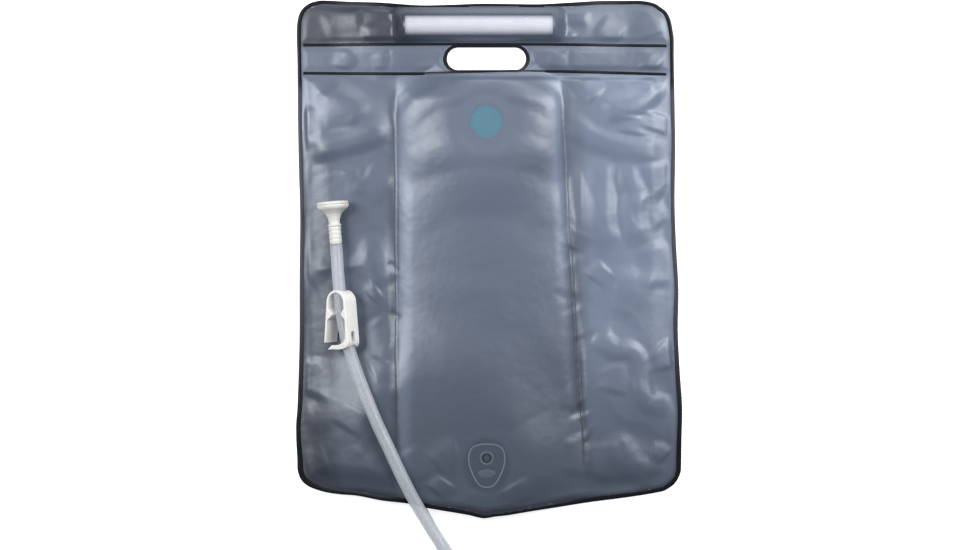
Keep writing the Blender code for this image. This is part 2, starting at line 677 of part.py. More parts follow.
def make_outlet():
    """The shield-shaped flange, its seal and the elbow that the hose pushes on to."""
    level = HOSE_LIFT + FILM + GAP
    flange = new_object(
        "outlet_flange",
        prism_mesh("outlet_flange", shield_outline(), level, level + SHIELD_THICKNESS),
        (0.10, 0.12, 0.15), 0.35,
    )
    flange.location = (*OUTLET_CENTRE, 0)
    rim = cutter("shield_rim", prism_mesh(
        "shield_rim", shield_outline(GAP), level + SHIELD_THICKNESS / 2,
        level + SHIELD_THICKNESS + SHIELD_RIM_RISE,
    ))
    rim_inside = cutter("shield_rim_inside", prism_mesh(
        "shield_rim_inside", shield_outline(SHIELD_RIM_WIDTH), level + SHIELD_THICKNESS,
        level + SHIELD_THICKNESS + SHIELD_RIM_RISE + CUT_OVERRUN,
    ))
    boss_top = level + SHIELD_THICKNESS + BOSS_RISE
    boss = cutter("outlet_boss", prism_mesh(
        "outlet_boss", circle((0, 0), BOSS_RADIUS, SMALL_SEGMENTS * 2), level + SHIELD_THICKNESS / 2, boss_top,
    ))
    lens_y = SHIELD_LENGTH * (BOSS_DROP_SHARE - LENS_DROP_SHARE)
    lens = [(x * LENS_LENGTH / 2, lens_y + y * LENS_WIDTH / 2) for x, y in circle((0, 0), 1, SMALL_SEGMENTS * 2)]
    lens_pad = cutter("outlet_lens", prism_mesh(
        "outlet_lens", lens, level + SHIELD_THICKNESS / 2, level + SHIELD_THICKNESS + LENS_RISE,
    ))
    bore = cutter("outlet_bore", prism_mesh(
        "outlet_bore", circle((0, 0), SPIGOT_RADIUS + SPIGOT_CLEARANCE, SMALL_SEGMENTS * 2),
        level - CUT_OVERRUN, boss_top + CUT_OVERRUN,
    ))
    for helper in (rim, rim_inside, boss, lens_pad, bore):
        helper.location = flange.location
    combine(flange, "UNION", rim)
    combine(flange, "DIFFERENCE", rim_inside)
    combine(flange, "UNION", boss, lens_pad)
    combine(flange, "DIFFERENCE", bore)
    make_elbow(level, boss_top)


def make_elbow(level, boss_top):
    """The elbow: an upright barrel with a spigot up into the flange and an arm to the hose."""
    seal_top = HOSE_LIFT - GAP
    seal_low = seal_top - OUTLET_SEAL_THICKNESS
    shoulder = seal_low - GAP
    spigot_top = boss_top
    foot = GAP
    arm_bore_low = HOSE_LEVEL - SPIGOT_BORE
    profile = [
        (0, foot), (ELBOW_RADIUS, foot), (ELBOW_RADIUS, shoulder), (SPIGOT_RADIUS, shoulder),
        (SPIGOT_RADIUS, spigot_top), (SPIGOT_BORE, spigot_top), (SPIGOT_BORE, arm_bore_low),
        (0, arm_bore_low),
    ]
    elbow = new_object("outlet_elbow", turned_mesh("outlet_elbow", profile[::-1], SMALL_SEGMENTS * 2),
                       (0.03, 0.035, 0.04), 0.35)
    elbow.location = (*OUTLET_CENTRE, 0)
    for name, radius, start, overrun, operation in (
        ("elbow_arm", ELBOW_ARM_RADIUS, ELBOW_RADIUS / 2, 0, "UNION"),
        ("elbow_arm_bore", SPIGOT_BORE, 0, CUT_OVERRUN, "DIFFERENCE"),
    ):
        profile = [(0, start), (radius, start), (radius, ELBOW_ARM_LENGTH + overrun),
                   (0, ELBOW_ARM_LENGTH + overrun)]
        helper = cutter(name, turned_mesh(name, profile, SMALL_SEGMENTS * 2))
        helper.location = (*OUTLET_CENTRE, HOSE_LEVEL)
        helper.rotation_euler = (0, math.pi / 2, ELBOW_HEADING)
        combine(elbow, operation, helper)
    seal_profile = [
        (SPIGOT_RADIUS + GAP, seal_low), (OUTLET_SEAL_RADIUS, seal_low),
        (OUTLET_SEAL_RADIUS, seal_top), (SPIGOT_RADIUS + GAP, seal_top),
    ]
    seal = new_object(
        "outlet_seal", turned_mesh("outlet_seal", seal_profile, SMALL_SEGMENTS * 2), (0.05, 0.05, 0.05), 0.7
    )
    seal.location = (*OUTLET_CENTRE, 0)


def smooth_route(route, count):
    """Points evenly along a centripetal Catmull-Rom curve through the route's points."""
    points = np.array(route)
    first, last = 2 * points[0] - points[1], 2 * points[-1] - points[-2]
    points = np.vstack([first, points, last])
    dense = []
    for p0, p1, p2, p3 in zip(points, points[1:], points[2:], points[3:]):
        t0 = 0.0
        t1 = t0 + np.linalg.norm(p1 - p0) ** 0.5
        t2 = t1 + np.linalg.norm(p2 - p1) ** 0.5
        t3 = t2 + np.linalg.norm(p3 - p2) ** 0.5
        t = np.linspace(t1, t2, 20, endpoint=False)[:, None]
        a1 = (t1 - t) / (t1 - t0) * p0 + (t - t0) / (t1 - t0) * p1
        a2 = (t2 - t) / (t2 - t1) * p1 + (t - t1) / (t2 - t1) * p2
        a3 = (t3 - t) / (t3 - t2) * p2 + (t - t2) / (t3 - t2) * p3
        b1 = (t2 - t) / (t2 - t0) * a1 + (t - t0) / (t2 - t0) * a2
        b2 = (t3 - t) / (t3 - t1) * a2 + (t - t1) / (t3 - t1) * a3
        dense.append((t2 - t) / (t2 - t1) * b1 + (t - t1) / (t2 - t1) * b2)
    dense = np.vstack(dense + [points[-2][None, :]])
    along = np.concatenate([[0], np.cumsum(np.linalg.norm(np.diff(dense, axis=0), axis=1))])
    even = np.linspace(0, along[-1], count)
    return np.column_stack([np.interp(even, along, dense[:, axis]) for axis in range(3)])


def make_hose():
    """The hose, from the shower head's stem to the elbow under the bag."""
    places = smooth_route(HOSE_ROUTE, HOSE_POINTS)
    curve = bpy.data.curves.new("hose", "CURVE")
    curve.dimensions = "3D"
    curve.twist_mode = "MINIMUM"
    curve.bevel_depth = HOSE_RADIUS
    curve.bevel_resolution = 2
    curve.use_fill_caps = True
    spline = curve.splines.new("POLY")
    spline.points.add(len(places) - 1)
    for point, place in zip(spline.points, places):
        point.co = (*place, 1)
    new_object("hose", curve, (0.52, 0.57, 0.63), 0.25, 0.5)


def head_matrix():
    """Places a turned piece of the head: its +Z runs from the rose down the stem."""
    along = Vector((math.cos(HEAD_HEADING), math.sin(HEAD_HEADING), 0))
    up = Vector((0, 0, 1))
    across = up.cross(along)
    turn = Matrix((across, up, along)).transposed().to_4x4()
    return Matrix.Translation((*HEAD_FACE, HEAD_LEVEL)) @ turn


def make_head():
    """The mushroom-shaped body with its barbed stem, the rose plate and the seal between."""
    white = (0.84, 0.83, 0.82)
    seat = ROSE_THICKNESS + GAP
    inside = HEAD_RADIUS - HEAD_WALL
    flare = HEAD_LENGTH - seat
    outside = [
        (HEAD_RADIUS * 0.97, seat), (HEAD_RADIUS, seat + flare * 0.02), (HEAD_RADIUS, seat + flare * 0.05),
        (HEAD_RADIUS * 0.93, seat + flare * 0.10), (HEAD_RADIUS * 0.71, seat + flare * 0.16),
        (HEAD_RADIUS * 0.52, seat + flare * 0.23), (HEAD_RADIUS * 0.42, seat + flare * 0.31),
        (HEAD_NECK_RADIUS, seat + flare * 0.42), (HEAD_NECK_RADIUS, seat + flare * 0.50),
        (HEAD_COLLAR_RADIUS, seat + flare * 0.51), (HEAD_COLLAR_RADIUS, seat + flare * 0.54),
        (HEAD_STEM_RADIUS, seat + flare * 0.56),
    ]
    stem_top = seat + flare * 0.58
    pitch = (HEAD_LENGTH - stem_top) / HEAD_BARBS
    for k in range(HEAD_BARBS):
        outside.append((HEAD_BARB_RADIUS, stem_top + pitch * (k + 0.15)))
        outside.append((HEAD_STEM_RADIUS, stem_top + pitch * (k + 0.95)))
    inner = [
        (HEAD_STEM_RADIUS, HEAD_LENGTH), (HEAD_BORE, HEAD_LENGTH),
        (HEAD_BORE, seat + flare * 0.31), (HEAD_RADIUS * 0.55, seat + flare * 0.12),
        (inside, seat + flare * 0.05), (inside, seat),
    ]
    place = head_matrix()
    body = new_object("head_body", turned_mesh("head_body", outside + inner, SEGMENTS * 3 // 4), white, 0.35)
    body.matrix_world = place
    spigot = inside - ROSE_SEAL_THICKNESS - 2 * GAP
    rim = HEAD_RADIUS * 0.93
    plate_profile = [
        (0, 0), (rim * 0.6, ROSE_CROWN * 0.3), (rim, ROSE_CROWN), (HEAD_RADIUS, ROSE_THICKNESS * 0.55),
        (HEAD_RADIUS, ROSE_THICKNESS * 0.85), (HEAD_RADIUS * 0.97, ROSE_THICKNESS),
        (spigot, ROSE_THICKNESS), (spigot, seat + flare * 0.045),
        (spigot - HEAD_WALL, seat + flare * 0.045), (spigot - HEAD_WALL, ROSE_THICKNESS - GAP),
        (0, ROSE_THICKNESS - GAP),
    ]
    plate = new_object("rose_plate", turned_mesh("rose_plate", plate_profile), white, 0.35)
    plate.matrix_world = place
    reach = spigot - 2 * HEAD_WALL
    for ring in range(ROSE_HOLE_RINGS):
        for k in range(max(1, 6 * ring)):
            angle = 2 * math.pi * k / max(1, 6 * ring)
            radius = reach * ring / (ROSE_HOLE_RINGS - 1)
            centre = (radius * math.cos(angle), radius * math.sin(angle))
            outline = circle(centre, ROSE_HOLE_RADIUS, SMALL_SEGMENTS // 2)
            low, high = -CUT_OVERRUN, ROSE_THICKNESS + CUT_OVERRUN
            helper = cutter(f"rose_hole_{ring}_{k}", prism_mesh("rose_hole", outline, low, high))
            helper.matrix_world = place
            combine(plate, "DIFFERENCE", helper)
    seal_profile = [
        (spigot + GAP, seat + GAP), (inside - GAP, seat + GAP),
        (inside - GAP, seat + flare * 0.04), (spigot + GAP, seat + flare * 0.04),
    ]
    seal = new_object("rose_seal", turned_mesh("rose_seal", seal_profile), (0.05, 0.05, 0.05), 0.7)
    seal.matrix_world = place


def clamp_matrix():
    """Places the clamp: local x is p, across the arms, y is q, towards the foot, z is w."""
    along = Vector((math.cos(CLAMP_HEADING), math.sin(CLAMP_HEADING), 0))
    right = Vector((-along.y, along.x, 0))
    across = right * math.cos(CLAMP_ROLL) + Vector((0, 0, 1)) * math.sin(CLAMP_ROLL)
    width = across.cross(along)
    outside = max(CLAMP_FOOT_INSIDE, CLAMP_HOOK_REACH) + CLAMP_STRIP
    low = outside * math.sin(CLAMP_ROLL) + CLAMP_WIDTH / 2 * math.cos(CLAMP_ROLL)
    level = SIDE_TOP + GAP + low
    turn = Matrix((across, along, width)).transposed().to_4x4()
    return Matrix.Translation((*CLAMP_TOP, level)) @ turn


def arm_profile(side, foot):
    """Half of the clamp's section, as (p, q) points, from the bend to the foot on one side."""
    inside, strip = CLAMP_BEND_INSIDE, CLAMP_STRIP
    bend = inside + strip
    outer, inner = [], []
    steps = 8
    for k in range(steps + 1):
        angle = math.pi / 2 - (math.pi / 2) * k / steps
        outer.append((side * bend * math.cos(angle), bend - bend * math.sin(angle)))
        inner.append((side * inside * math.cos(angle), bend - inside * math.sin(angle)))
    widen = (CLAMP_FOOT_INSIDE - inside) / (CLAMP_LENGTH - bend)
    face = inside + widen * (CLAMP_NUB_DOWN - bend)
    tip = HOSE_RADIUS + CLAMP_NUB_ROOM + (CLAMP_HOSE_ACROSS * side)
    outer.append((side * (inside + strip + widen * (foot - bend)), foot))
    half = CLAMP_NUB_LONG / 2
    inner += [
        (side * (inside + widen * (CLAMP_NUB_DOWN - half - bend)), CLAMP_NUB_DOWN - half),
        (side * (tip + (face - tip) * 0.12), CLAMP_NUB_DOWN - half * 0.3),
        (side * tip, CLAMP_NUB_DOWN),
        (side * (tip + (face - tip) * 0.12), CLAMP_NUB_DOWN + half * 0.3),
        (side * (inside + widen * (CLAMP_NUB_DOWN + half - bend)), CLAMP_NUB_DOWN + half),
        (side * (inside + widen * (foot - bend)), foot),
    ]
    return outer, inner


def strip_mesh(name, outline):
    """A clamp section carried across the strip's width."""
    return prism_mesh(name, outline, -CLAMP_WIDTH / 2, CLAMP_WIDTH / 2)


def make_clamp():
    """The pinch clamp: the hook arm with the bend and foot, and the arm that swings."""
    white = (0.82, 0.81, 0.80)
    place = clamp_matrix()
    hinge = CLAMP_HINGE_ACROSS
    pivot_down = CLAMP_STRIP / 2
    foot_top = CLAMP_LENGTH - CLAMP_STRIP
    hole = HOSE_RADIUS + CLAMP_HOLE_ROOM

    outer, inner = arm_profile(1, CLAMP_LENGTH)
    reach = CLAMP_HOOK_REACH
    foot = [
        (-reach, CLAMP_LENGTH), (-reach - CLAMP_STRIP, foot_top - CLAMP_STRIP / 2),
        (-reach + CLAMP_STRIP / 3, foot_top - CLAMP_LIP_RISE), (-reach + CLAMP_STRIP, foot_top),
        (inner[-1][0], foot_top),
    ]
    start = hinge + pivot_down + GAP
    outer = [(start, outer[0][1])] + [point for point in outer if point[0] > start]
    inner = [(start, inner[0][1])] + [point for point in inner if point[0] > start]
    outline = outer + foot + inner[:-1][::-1]
    hook = new_object("clamp_hook_arm", strip_mesh("clamp_hook_arm", outline), white, 0.35)
    hook.matrix_world = place

    outer, inner = arm_profile(-1, CLAMP_LENGTH - CLAMP_FREE_SHORTFALL)
    knuckle = [
        (hinge + pivot_down * math.cos(a), pivot_down - pivot_down * math.sin(a))
        for a in (math.pi / 2, math.pi / 4, 0, -math.pi / 4, -math.pi / 2)
    ]
    outer = [point for point in outer if point[0] < hinge - MERGE]
    inner = [point for point in inner if point[0] < hinge - MERGE]
    outline = knuckle + inner + outer[::-1]
    free = new_object("clamp_free_arm", strip_mesh("clamp_free_arm", outline), white, 0.35)
    free.matrix_world = place
    pivot = place @ Vector((hinge, pivot_down, 0))
    shift = Matrix.Translation(place.inverted() @ pivot)
    free.data.transform(shift.inverted())
    free.matrix_world = place @ shift

    for name, across, aside, low, high, arms in (
        ("clamp_top_hole", hinge, 0, -CUT_OVERRUN, CLAMP_BEND_INSIDE, (hook, free)),
        ("clamp_foot_hole", CLAMP_FOOT_HOLE_ACROSS, CLAMP_FOOT_HOLE_ASIDE,
         foot_top - CUT_OVERRUN / 2, CLAMP_LENGTH + CUT_OVERRUN, (hook,)),
    ):
        mesh = prism_mesh(name, circle((across, -aside), hole, SMALL_SEGMENTS * 2), low, high)
        helper = cutter(name, mesh)
        helper.matrix_world = place @ Matrix.Rotation(-math.pi / 2, 4, "X")
        for arm in arms:
            combine(arm, "DIFFERENCE", helper)
    window = stadium((0, 0), CLAMP_WINDOW_LENGTH, CLAMP_WINDOW_WIDTH, 5)
    mesh = prism_mesh("clamp_window", window, 0, CLAMP_FOOT_INSIDE + CLAMP_STRIP + CUT_OVERRUN)
    helper = cutter("clamp_window", mesh)
    turn = Matrix(((0, 0, 1, 0), (1, 0, 0, 0), (0, 1, 0, 0), (0, 0, 0, 1)))
    helper.matrix_world = place @ Matrix.Translation((0, CLAMP_LENGTH - CLAMP_WINDOW_UP, 0)) @ turn
    combine(hook, "DIFFERENCE", helper)


def main():
    """Clears the scene and builds every piece."""
    for obj in list(bpy.data.objects):
        bpy.data.objects.remove(obj)
    make_welds(make_films())
    make_grip_tube()
    make_filler()
    make_outlet()
    make_hose()
    make_head()
    make_clamp()


main()
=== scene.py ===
"""Dresses the camp shower bag: films, welds, tube, fittings, hose, clamp and shower head.

Each piece is a surface worked out in metres, in the frame of the solids, and rides on the body
of the solid that it stands for.
"""

import logging
import math
from dataclasses import dataclass
from enum import Enum
from typing import Any, Sequence

import bmesh
import bpy
import numpy as np
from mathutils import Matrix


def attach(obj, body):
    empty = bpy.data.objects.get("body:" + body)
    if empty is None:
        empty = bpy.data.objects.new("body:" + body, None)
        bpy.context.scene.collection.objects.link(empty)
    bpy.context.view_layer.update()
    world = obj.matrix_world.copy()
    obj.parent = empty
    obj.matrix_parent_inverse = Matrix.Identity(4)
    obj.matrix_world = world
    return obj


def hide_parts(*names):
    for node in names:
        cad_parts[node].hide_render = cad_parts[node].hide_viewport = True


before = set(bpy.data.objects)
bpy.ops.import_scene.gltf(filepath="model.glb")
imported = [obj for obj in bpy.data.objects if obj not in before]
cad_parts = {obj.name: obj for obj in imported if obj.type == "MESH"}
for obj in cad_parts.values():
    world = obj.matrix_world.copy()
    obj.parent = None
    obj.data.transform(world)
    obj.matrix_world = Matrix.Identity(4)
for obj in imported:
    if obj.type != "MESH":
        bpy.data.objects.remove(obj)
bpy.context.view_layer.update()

Array = np.ndarray
Pair = tuple[float, float]
Triple = tuple[float, float, float]
Step = tuple[int, float, float]
Tree = bpy.types.NodeTree
Socket = bpy.types.NodeSocket
Object = bpy.types.Object

MM = 0.001
GAP = 0.3 * MM
ROOT = "bag"
X, Y = 0, 1
log = logging.getLogger("shower_bag")


class Slot(Enum):
    """The material slots of the record."""

    FROSTED_FILM = "frosted_film"
    BLACK_FILM = "black_film"
    FUSED_FILM = "fused_film"
    TUBE = "tube_white"
    FITTING_DARK = "fitting_dark"
    FITTING_CLEAR = "fitting_clear"
    SEAL = "seal_rubber"
    CAP = "cap_teal"
    HOSE = "hose_clear"
    MOULDED = "moulded_white"


# The front film's folds: rise, left and right width, then x and y of each point that a fold runs
# through, in millimetres. A rise below 0 is a sharp valley, above 0 a soft ridge, and the widths
# are on either side of its direction of travel. The two long ones beside the pillow come first,
# then the arches on it, the left panel's, the right panel's, the sleeve's and the strip's.
FOLDS = (
    (-1.2, 2, 5, -101, 191, -100, 147, -100, 115, -99, 73, -99, 10, -99, -53, -98, -95, -97, -150,
     -96, -189, -95, -216),
    (-0.9, 5, 4.5, 77, 194, 78, 115, 81, 73, 84, 8, 87, -21, 89, -46, 92, -95, 95, -160, 98, -173,
     100, -200, 103, -236),
    (1.2, 6, 6, -95, 115, -91, 141, -81, 157, -63, 170, -36, 178, -3, 181, 32, 178, 58, 170, 72,
     155, 77, 131),
    (0.6, 7, 8, -92, 73, -84, 94, -63, 110, -31, 118, 0, 119, 37, 116, 63, 103, 76, 78),
    (0.6, 10, 10, -91, 26, -78, 50, -52, 66, -3, 73, 42, 67, 72, 47, 79, 21),
    (0.7, 8, 8, -96, 170, -88, 180, -63, 190, -42, 192),
    (0.4, 16, 16, -68, -97, -31, -89, 11, -82, 53, -77, 80, -65),
    (0.6, 12, 12, -89, -42, -52, -38, -10, -42, 32, -49),
    (0.3, 14, 14, 11, -179, 42, -177, 69, -168, 87, -160),
    (2, 7, 5, -196, 112, -168, 118, -136, 126, -110, 136, -98, 138),
    (1, 8, 8, -173, 184, -160, 171, -144, 159, -130, 147),
    (0.9, 6, 6, -196, 163, -189, 141, -176, 122),
    (1.1, 6, 6, -148, 99, -146, 84, -144, 65),
    (0.8, 5, 5, -172, 92, -165, 73, -168, 57),
    (0.8, 7, 7, -134, 92, -117, 78, -105, 71),
    (0.8, 9, 9, -195, -21, -180, -9, -168, 8),
    (0.9, 8, 8, -123, 31, -117, 0, -102, -27),
    (0.8, 5, 5, -128, -39, -122, -33, -117, -29),
    (-0.9, 3, 3, -107, -2, -99, -9, -95, -13),
    (-0.9, 3, 3, -105, -55, -98, -59, -94, -63),
    (0.5, 8, 8, -123, -61, -113, -76, -98, -84),
    (0.6, 7, 7, -112, -103, -116, -112, -126, -118),
    (0.8, 7, 7, -198, -167, -183, -165, -172, -161, -165, -147, -163, -135),
    (0.6, 8, 8, -154, -179, -146, -166, -139, -152),
    (0.9, 8, 8, -189, -147, -182, -126, -180, -100),
    (0.5, 8, 8, -161, -239, -151, -224, -135, -207, -128, -196),
    (0.5, 8, 8, -195, -221, -182, -215, -168, -210),
    (0.5, 8, 8, -123, -229, -111, -212, -102, -196),
    (0.6, 8, 8, -91, -198, -84, -208, -69, -219, -63, -231),
    (0.9, 6, 6, -58, -246, -52, -238, -46, -229),
    (0.8, 8, 8, -60, -217, -46, -206, -29, -200),
    (1.9, 5, 6, 80, 148, 90, 143, 102, 134, 122, 124, 147, 118, 171, 116, 189, 115),
    (1.9, 6, 6, 183, 191, 175, 181, 164, 171, 154, 163, 137, 159, 116, 150),
    (0.8, 7, 7, 153, 153, 152, 142, 150, 130),
    (0.8, 7, 7, 181, 155, 178, 145, 174, 133),
    (1, 6, 6, 100, 192, 106, 182, 116, 171),
    (0.8, 7, 7, 158, 208, 168, 199, 179, 195),
    (1.8, 6, 8, 119, 112, 119, 84, 119, 57, 120, 36, 125, 23, 135, 10),
    (1.8, 6, 6, 144, 107, 147, 86, 154, 70, 152, 50, 156, 31, 161, 12),
    (1, 7, 7, 174, 105, 176, 90, 180, 77, 187, 71),
    (1, 7, 7, 160, 73, 166, 61, 176, 49, 186, 34),
    (1, 8, 8, 171, 21, 179, -2, 183, -32),
    (0.7, 6, 6, 99, 31, 92, 19, 87, 9),
    (0.5, 7, 7, 87, 6, 94, -5, 97, -18, 94, -32, 90, -43),
    (0.5, 6, 7, 90, -47, 95, -59, 100, -72, 105, -82),
    (-0.3, 5, 5, 66, -34, 76, -38, 88, -44),
    (1, 6, 6, 108, -23, 116, -13, 123, -5),
    (0.9, 8, 8, 126, -27, 147, -25, 174, -34),
    (1.9, 5, 5, 106, -70, 116, -75, 122, -86, 133, -94, 147, -95, 155, -102, 160, -118, 162, -135,
     168, -148, 181, -152, 198, -153),
    (1, 7, 7, 174, -90, 183, -101, 187, -118),
    (1, 7, 7, 129, -107, 133, -124, 129, -143),
    (0.4, 7, 7, 74, -139, 85, -147, 94, -157),
    (0.5, 6, 6, 95, -160, 98, -167, 102, -176, 110, -183),
    (-0.3, 5, 5, 72, -160, 84, -159, 94, -163),
    (0.7, 6, 6, 89, -181, 95, -196, 96, -212, 90, -231),
    (1.1, 7, 7, 133, -179, 138, -197, 147, -212, 163, -225, 177, -233),
    (1.1, 5, 5, 168, -200, 179, -202, 187, -209),
    (0.8, 8, 8, 116, -189, 118, -210, 114, -233),
    (0.9, 7, 7, 24, -233, 30, -244, 34, -256),
    (1.3, 5, 4, -136, 236, -117, 239, -91, 240),
    (1.4, 4, 4, -104, 264, -94, 259, -88, 250),
    (0.8, 6, 6, -178, 245, -157, 252, -131, 254),
    (1.3, 4, 4, 70, 245, 76, 251, 88, 255, 108, 254),
    (1.2, 4, 4, 70, 241, 80, 236, 89, 230),
    (1, 6, 6, 114, 250, 126, 241, 142, 233),
    (0.8, 7, 7, 158, 258, 168, 247, 174, 233),
    (-0.9, 3, 3, -106, 224, -106, 214, -107, 199),
    (0.9, 4, 4, -114, 218, -113, 208, -111, 198),
    (0.8, 5, 5, -144, 218, -152, 208, -157, 199),
    (-0.8, 3, 3, 85, 224, 84, 212, 83, 199),
    (0.8, 4, 4, 74, 218, 71, 210, 66, 201),
    (0.9, 6, 6, 158, 218, 168, 210, 181, 201),
)

# The bag's outline, clockwise from the left end of the top left corner, in millimetres.
OUTLINE = (
    (-203.1, 241.1), (-202.2, 251.6), (-200.0, 259.5), (-196.6, 264.7), (-191.9, 268.6),
    (-187.7, 270.8), (-182.3, 272.3), (-177.5, 273.0), (-162.3, 272.5), (-146.6, 271.6),
    (-115.1, 270.5), (-73.1, 267.6), (-41.6, 268.1), (-10.1, 269.2), (26.7, 268.9), (52.9, 268.7),
    (84.4, 270.4), (115.9, 272.4), (140.0, 272.7), (158.8, 272.7), (169.3, 271.2), (175.6, 269.0),
    (179.8, 266.0), (185.5, 261.8), (189.7, 255.0), (192.0, 246.7), (193.0, 240.5), (193.9, 234.8),
    (194.1, 209.6), (194.9, 167.6), (195.6, 113.0), (194.9, 62.6), (196.2, 20.6), (198.9, -31.9),
    (198.3, -73.9), (200.2, -115.9), (202.8, -154.7), (202.2, -189.4), (201.8, -213.5),
    (201.5, -222.3), (199.4, -228.6), (196.8, -233.3), (193.1, -237.5), (188.6, -240.6),
    (183.9, -243.3), (174.5, -245.4), (158.7, -248.1), (138.0, -251.1), (105.4, -255.3),
    (73.9, -260.1), (42.4, -264.7), (17.2, -268.7), (5.7, -269.9), (-0.6, -271.1), (-6.4, -271.6),
    (-12.2, -270.6), (-20.6, -268.4), (-31.1, -266.4), (-67.8, -260.1), (-84.6, -256.1),
    (-113.0, -252.8), (-139.2, -248.0), (-157.9, -246.7), (-172.6, -244.7), (-182.0, -242.1),
    (-190.1, -238.9), (-196.9, -233.8), (-200.3, -228.0), (-202.2, -221.2), (-202.5, -210.4),
    (-203.6, -189.4), (-203.7, -172.6), (-202.5, -157.9), (-201.3, -126.4), (-200.2, -84.4),
    (-200.1, -21.4), (-199.5, 46.9), (-200.8, 96.2), (-201.8, 146.6), (-202.4, 209.6),
)

# The hose's route from the shower head to the elbow under the bag, in metres.
HOSE_ROUTE = (
    (-0.1606, 0.0161, 0.0233), (-0.1596, 0.0031, 0.0234), (-0.1586, -0.0140, 0.0237),
    (-0.1569, -0.0329, 0.0241), (-0.1543, -0.0592, 0.0252), (-0.1508, -0.0770, 0.0272),
    (-0.1468, -0.0928, 0.0290), (-0.1394, -0.1159, 0.0288), (-0.1294, -0.1421, 0.0278),
    (-0.1188, -0.1684, 0.0272), (-0.1056, -0.1967, 0.0270), (-0.0920, -0.2261, 0.0260),
    (-0.0757, -0.2576, 0.0232), (-0.0615, -0.2812, 0.0208), (-0.0484, -0.3022, 0.0202),
    (-0.0362, -0.3273, 0.0190), (-0.0354, -0.3460, 0.0140), (-0.0413, -0.3670, 0.0089),
    (-0.0476, -0.3912, 0.0071), (-0.0395, -0.4179, 0.0066), (-0.0190, -0.4370, 0.0066),
    (0.0082, -0.4432, 0.0066), (0.0350, -0.4351, 0.0066), (0.0540, -0.4146, 0.0066),
    (0.0603, -0.3874, 0.0066), (0.0521, -0.3606, 0.0066), (0.0317, -0.3416, 0.0066),
    (0.0045, -0.3353, 0.0066), (-0.0270, -0.3262, 0.0066), (-0.0484, -0.3022, 0.0066),
    (-0.0757, -0.2576, 0.0066), (-0.0925, -0.2290, 0.0066), (-0.1060, -0.1975, 0.0066),
    (-0.1025, -0.1688, 0.0066), (-0.0853, -0.1485, 0.0066), (-0.0598, -0.1397, 0.0066),
    (-0.0334, -0.1449, 0.0066), (-0.0131, -0.1625, 0.0066), (-0.0052, -0.1769, 0.0066),
    (-0.0043, -0.1880, 0.0066),
)


# Lines and surfaces


def through(points: Array, steps: int, closed: bool = False) -> Array:
    """Draws a centripetal Catmull-Rom curve through points.

    Each stretch blends the parabolas through its four nearest points, with knots spaced by the
    square roots of the chords.

    Args:
        points: the points, one a row.
        steps: how many points each stretch gets.
        closed: whether the line joins its own start.

    Returns:
        The points of the line, one a row.
    """
    p = np.asarray(points, float)
    if closed:
        p = np.vstack([p[-1:], p, p[:2]])
    else:
        p = np.vstack([2 * p[:1] - p[1:2], p, 2 * p[-1:] - p[-2:-1]])
    p0, p1, p2, p3 = p[:-3, None], p[1:-2, None], p[2:-1, None], p[3:, None]
    knot = np.sqrt(np.linalg.norm(np.diff(p, axis=0), axis=1))[:, None, None]
    t0 = np.zeros_like(knot[:-2])
    t1 = t0 + knot[:-2]
    t2 = t1 + knot[1:-1]
    t3 = t2 + knot[2:]
    t = t1 + (t2 - t1) * np.linspace(0, 1, steps, endpoint=False)[None, :, None]

    def blend(first: Array, second: Array, low: Array, high: Array) -> Array:
        """Goes from first to second as t goes from low to high."""
        return (high - t) / (high - low) * first + (t - low) / (high - low) * second

    a1, a2, a3 = blend(p0, p1, t0, t1), blend(p1, p2, t1, t2), blend(p2, p3, t2, t3)
    line = blend(blend(a1, a2, t0, t2), blend(a2, a3, t1, t3), t1, t2).reshape(-1, p.shape[1])
    return line if closed else np.vstack([line, p[-2:-1]])


def even(line: Array, count: int) -> Array:
    """Spaces count points evenly along a line.

    Args:
        line: the points of the line.
        count: how many points it gets.

    Returns:
        The new points, with both ends.
    """
    along = np.concatenate([[0], np.cumsum(np.linalg.norm(np.diff(line, axis=0), axis=1))])
    at = np.linspace(0, along[-1], count)
    return np.column_stack([np.interp(at, along, line[:, k]) for k in range(line.shape[1])])


def even_loop(line: Array, count: int) -> Array:
    """Spaces count points evenly round a line that joins its own start."""
    return even(np.vstack([line, line[:1]]), count + 1)[:-1]


def softened(corners: Sequence[Pair], reach: float, steps: int = 4, closed: bool = True) -> Array:
    """Rounds the corners of a line of straight runs.

    Each corner becomes a parabola that starts reach before it and ends reach past it, or at
    0.45 of a shorter run.

    Args:
        corners: the corner points.
        reach: the length of run that a rounded corner takes.
        steps: points in each rounded corner.
        closed: whether the last corner joins the first.

    Returns:
        The points of the rounded line.
    """
    p = np.asarray(corners, float)
    ends = []
    for turn in (1, -1):
        run = np.roll(p, turn, axis=0) - p
        length = np.linalg.norm(run, axis=1, keepdims=True) + 1e-12
        ends.append((p + run / length * np.minimum(reach, 0.45 * length))[:, None])
    t = np.linspace(0, 1, steps)[None, :, None]
    arcs = (1 - t) ** 2 * ends[0] + 2 * t * (1 - t) * p[:, None] + t**2 * ends[1]
    if not closed:
        arcs[0], arcs[-1] = p[0], p[-1]
    return arcs.reshape(-1, p.shape[1])


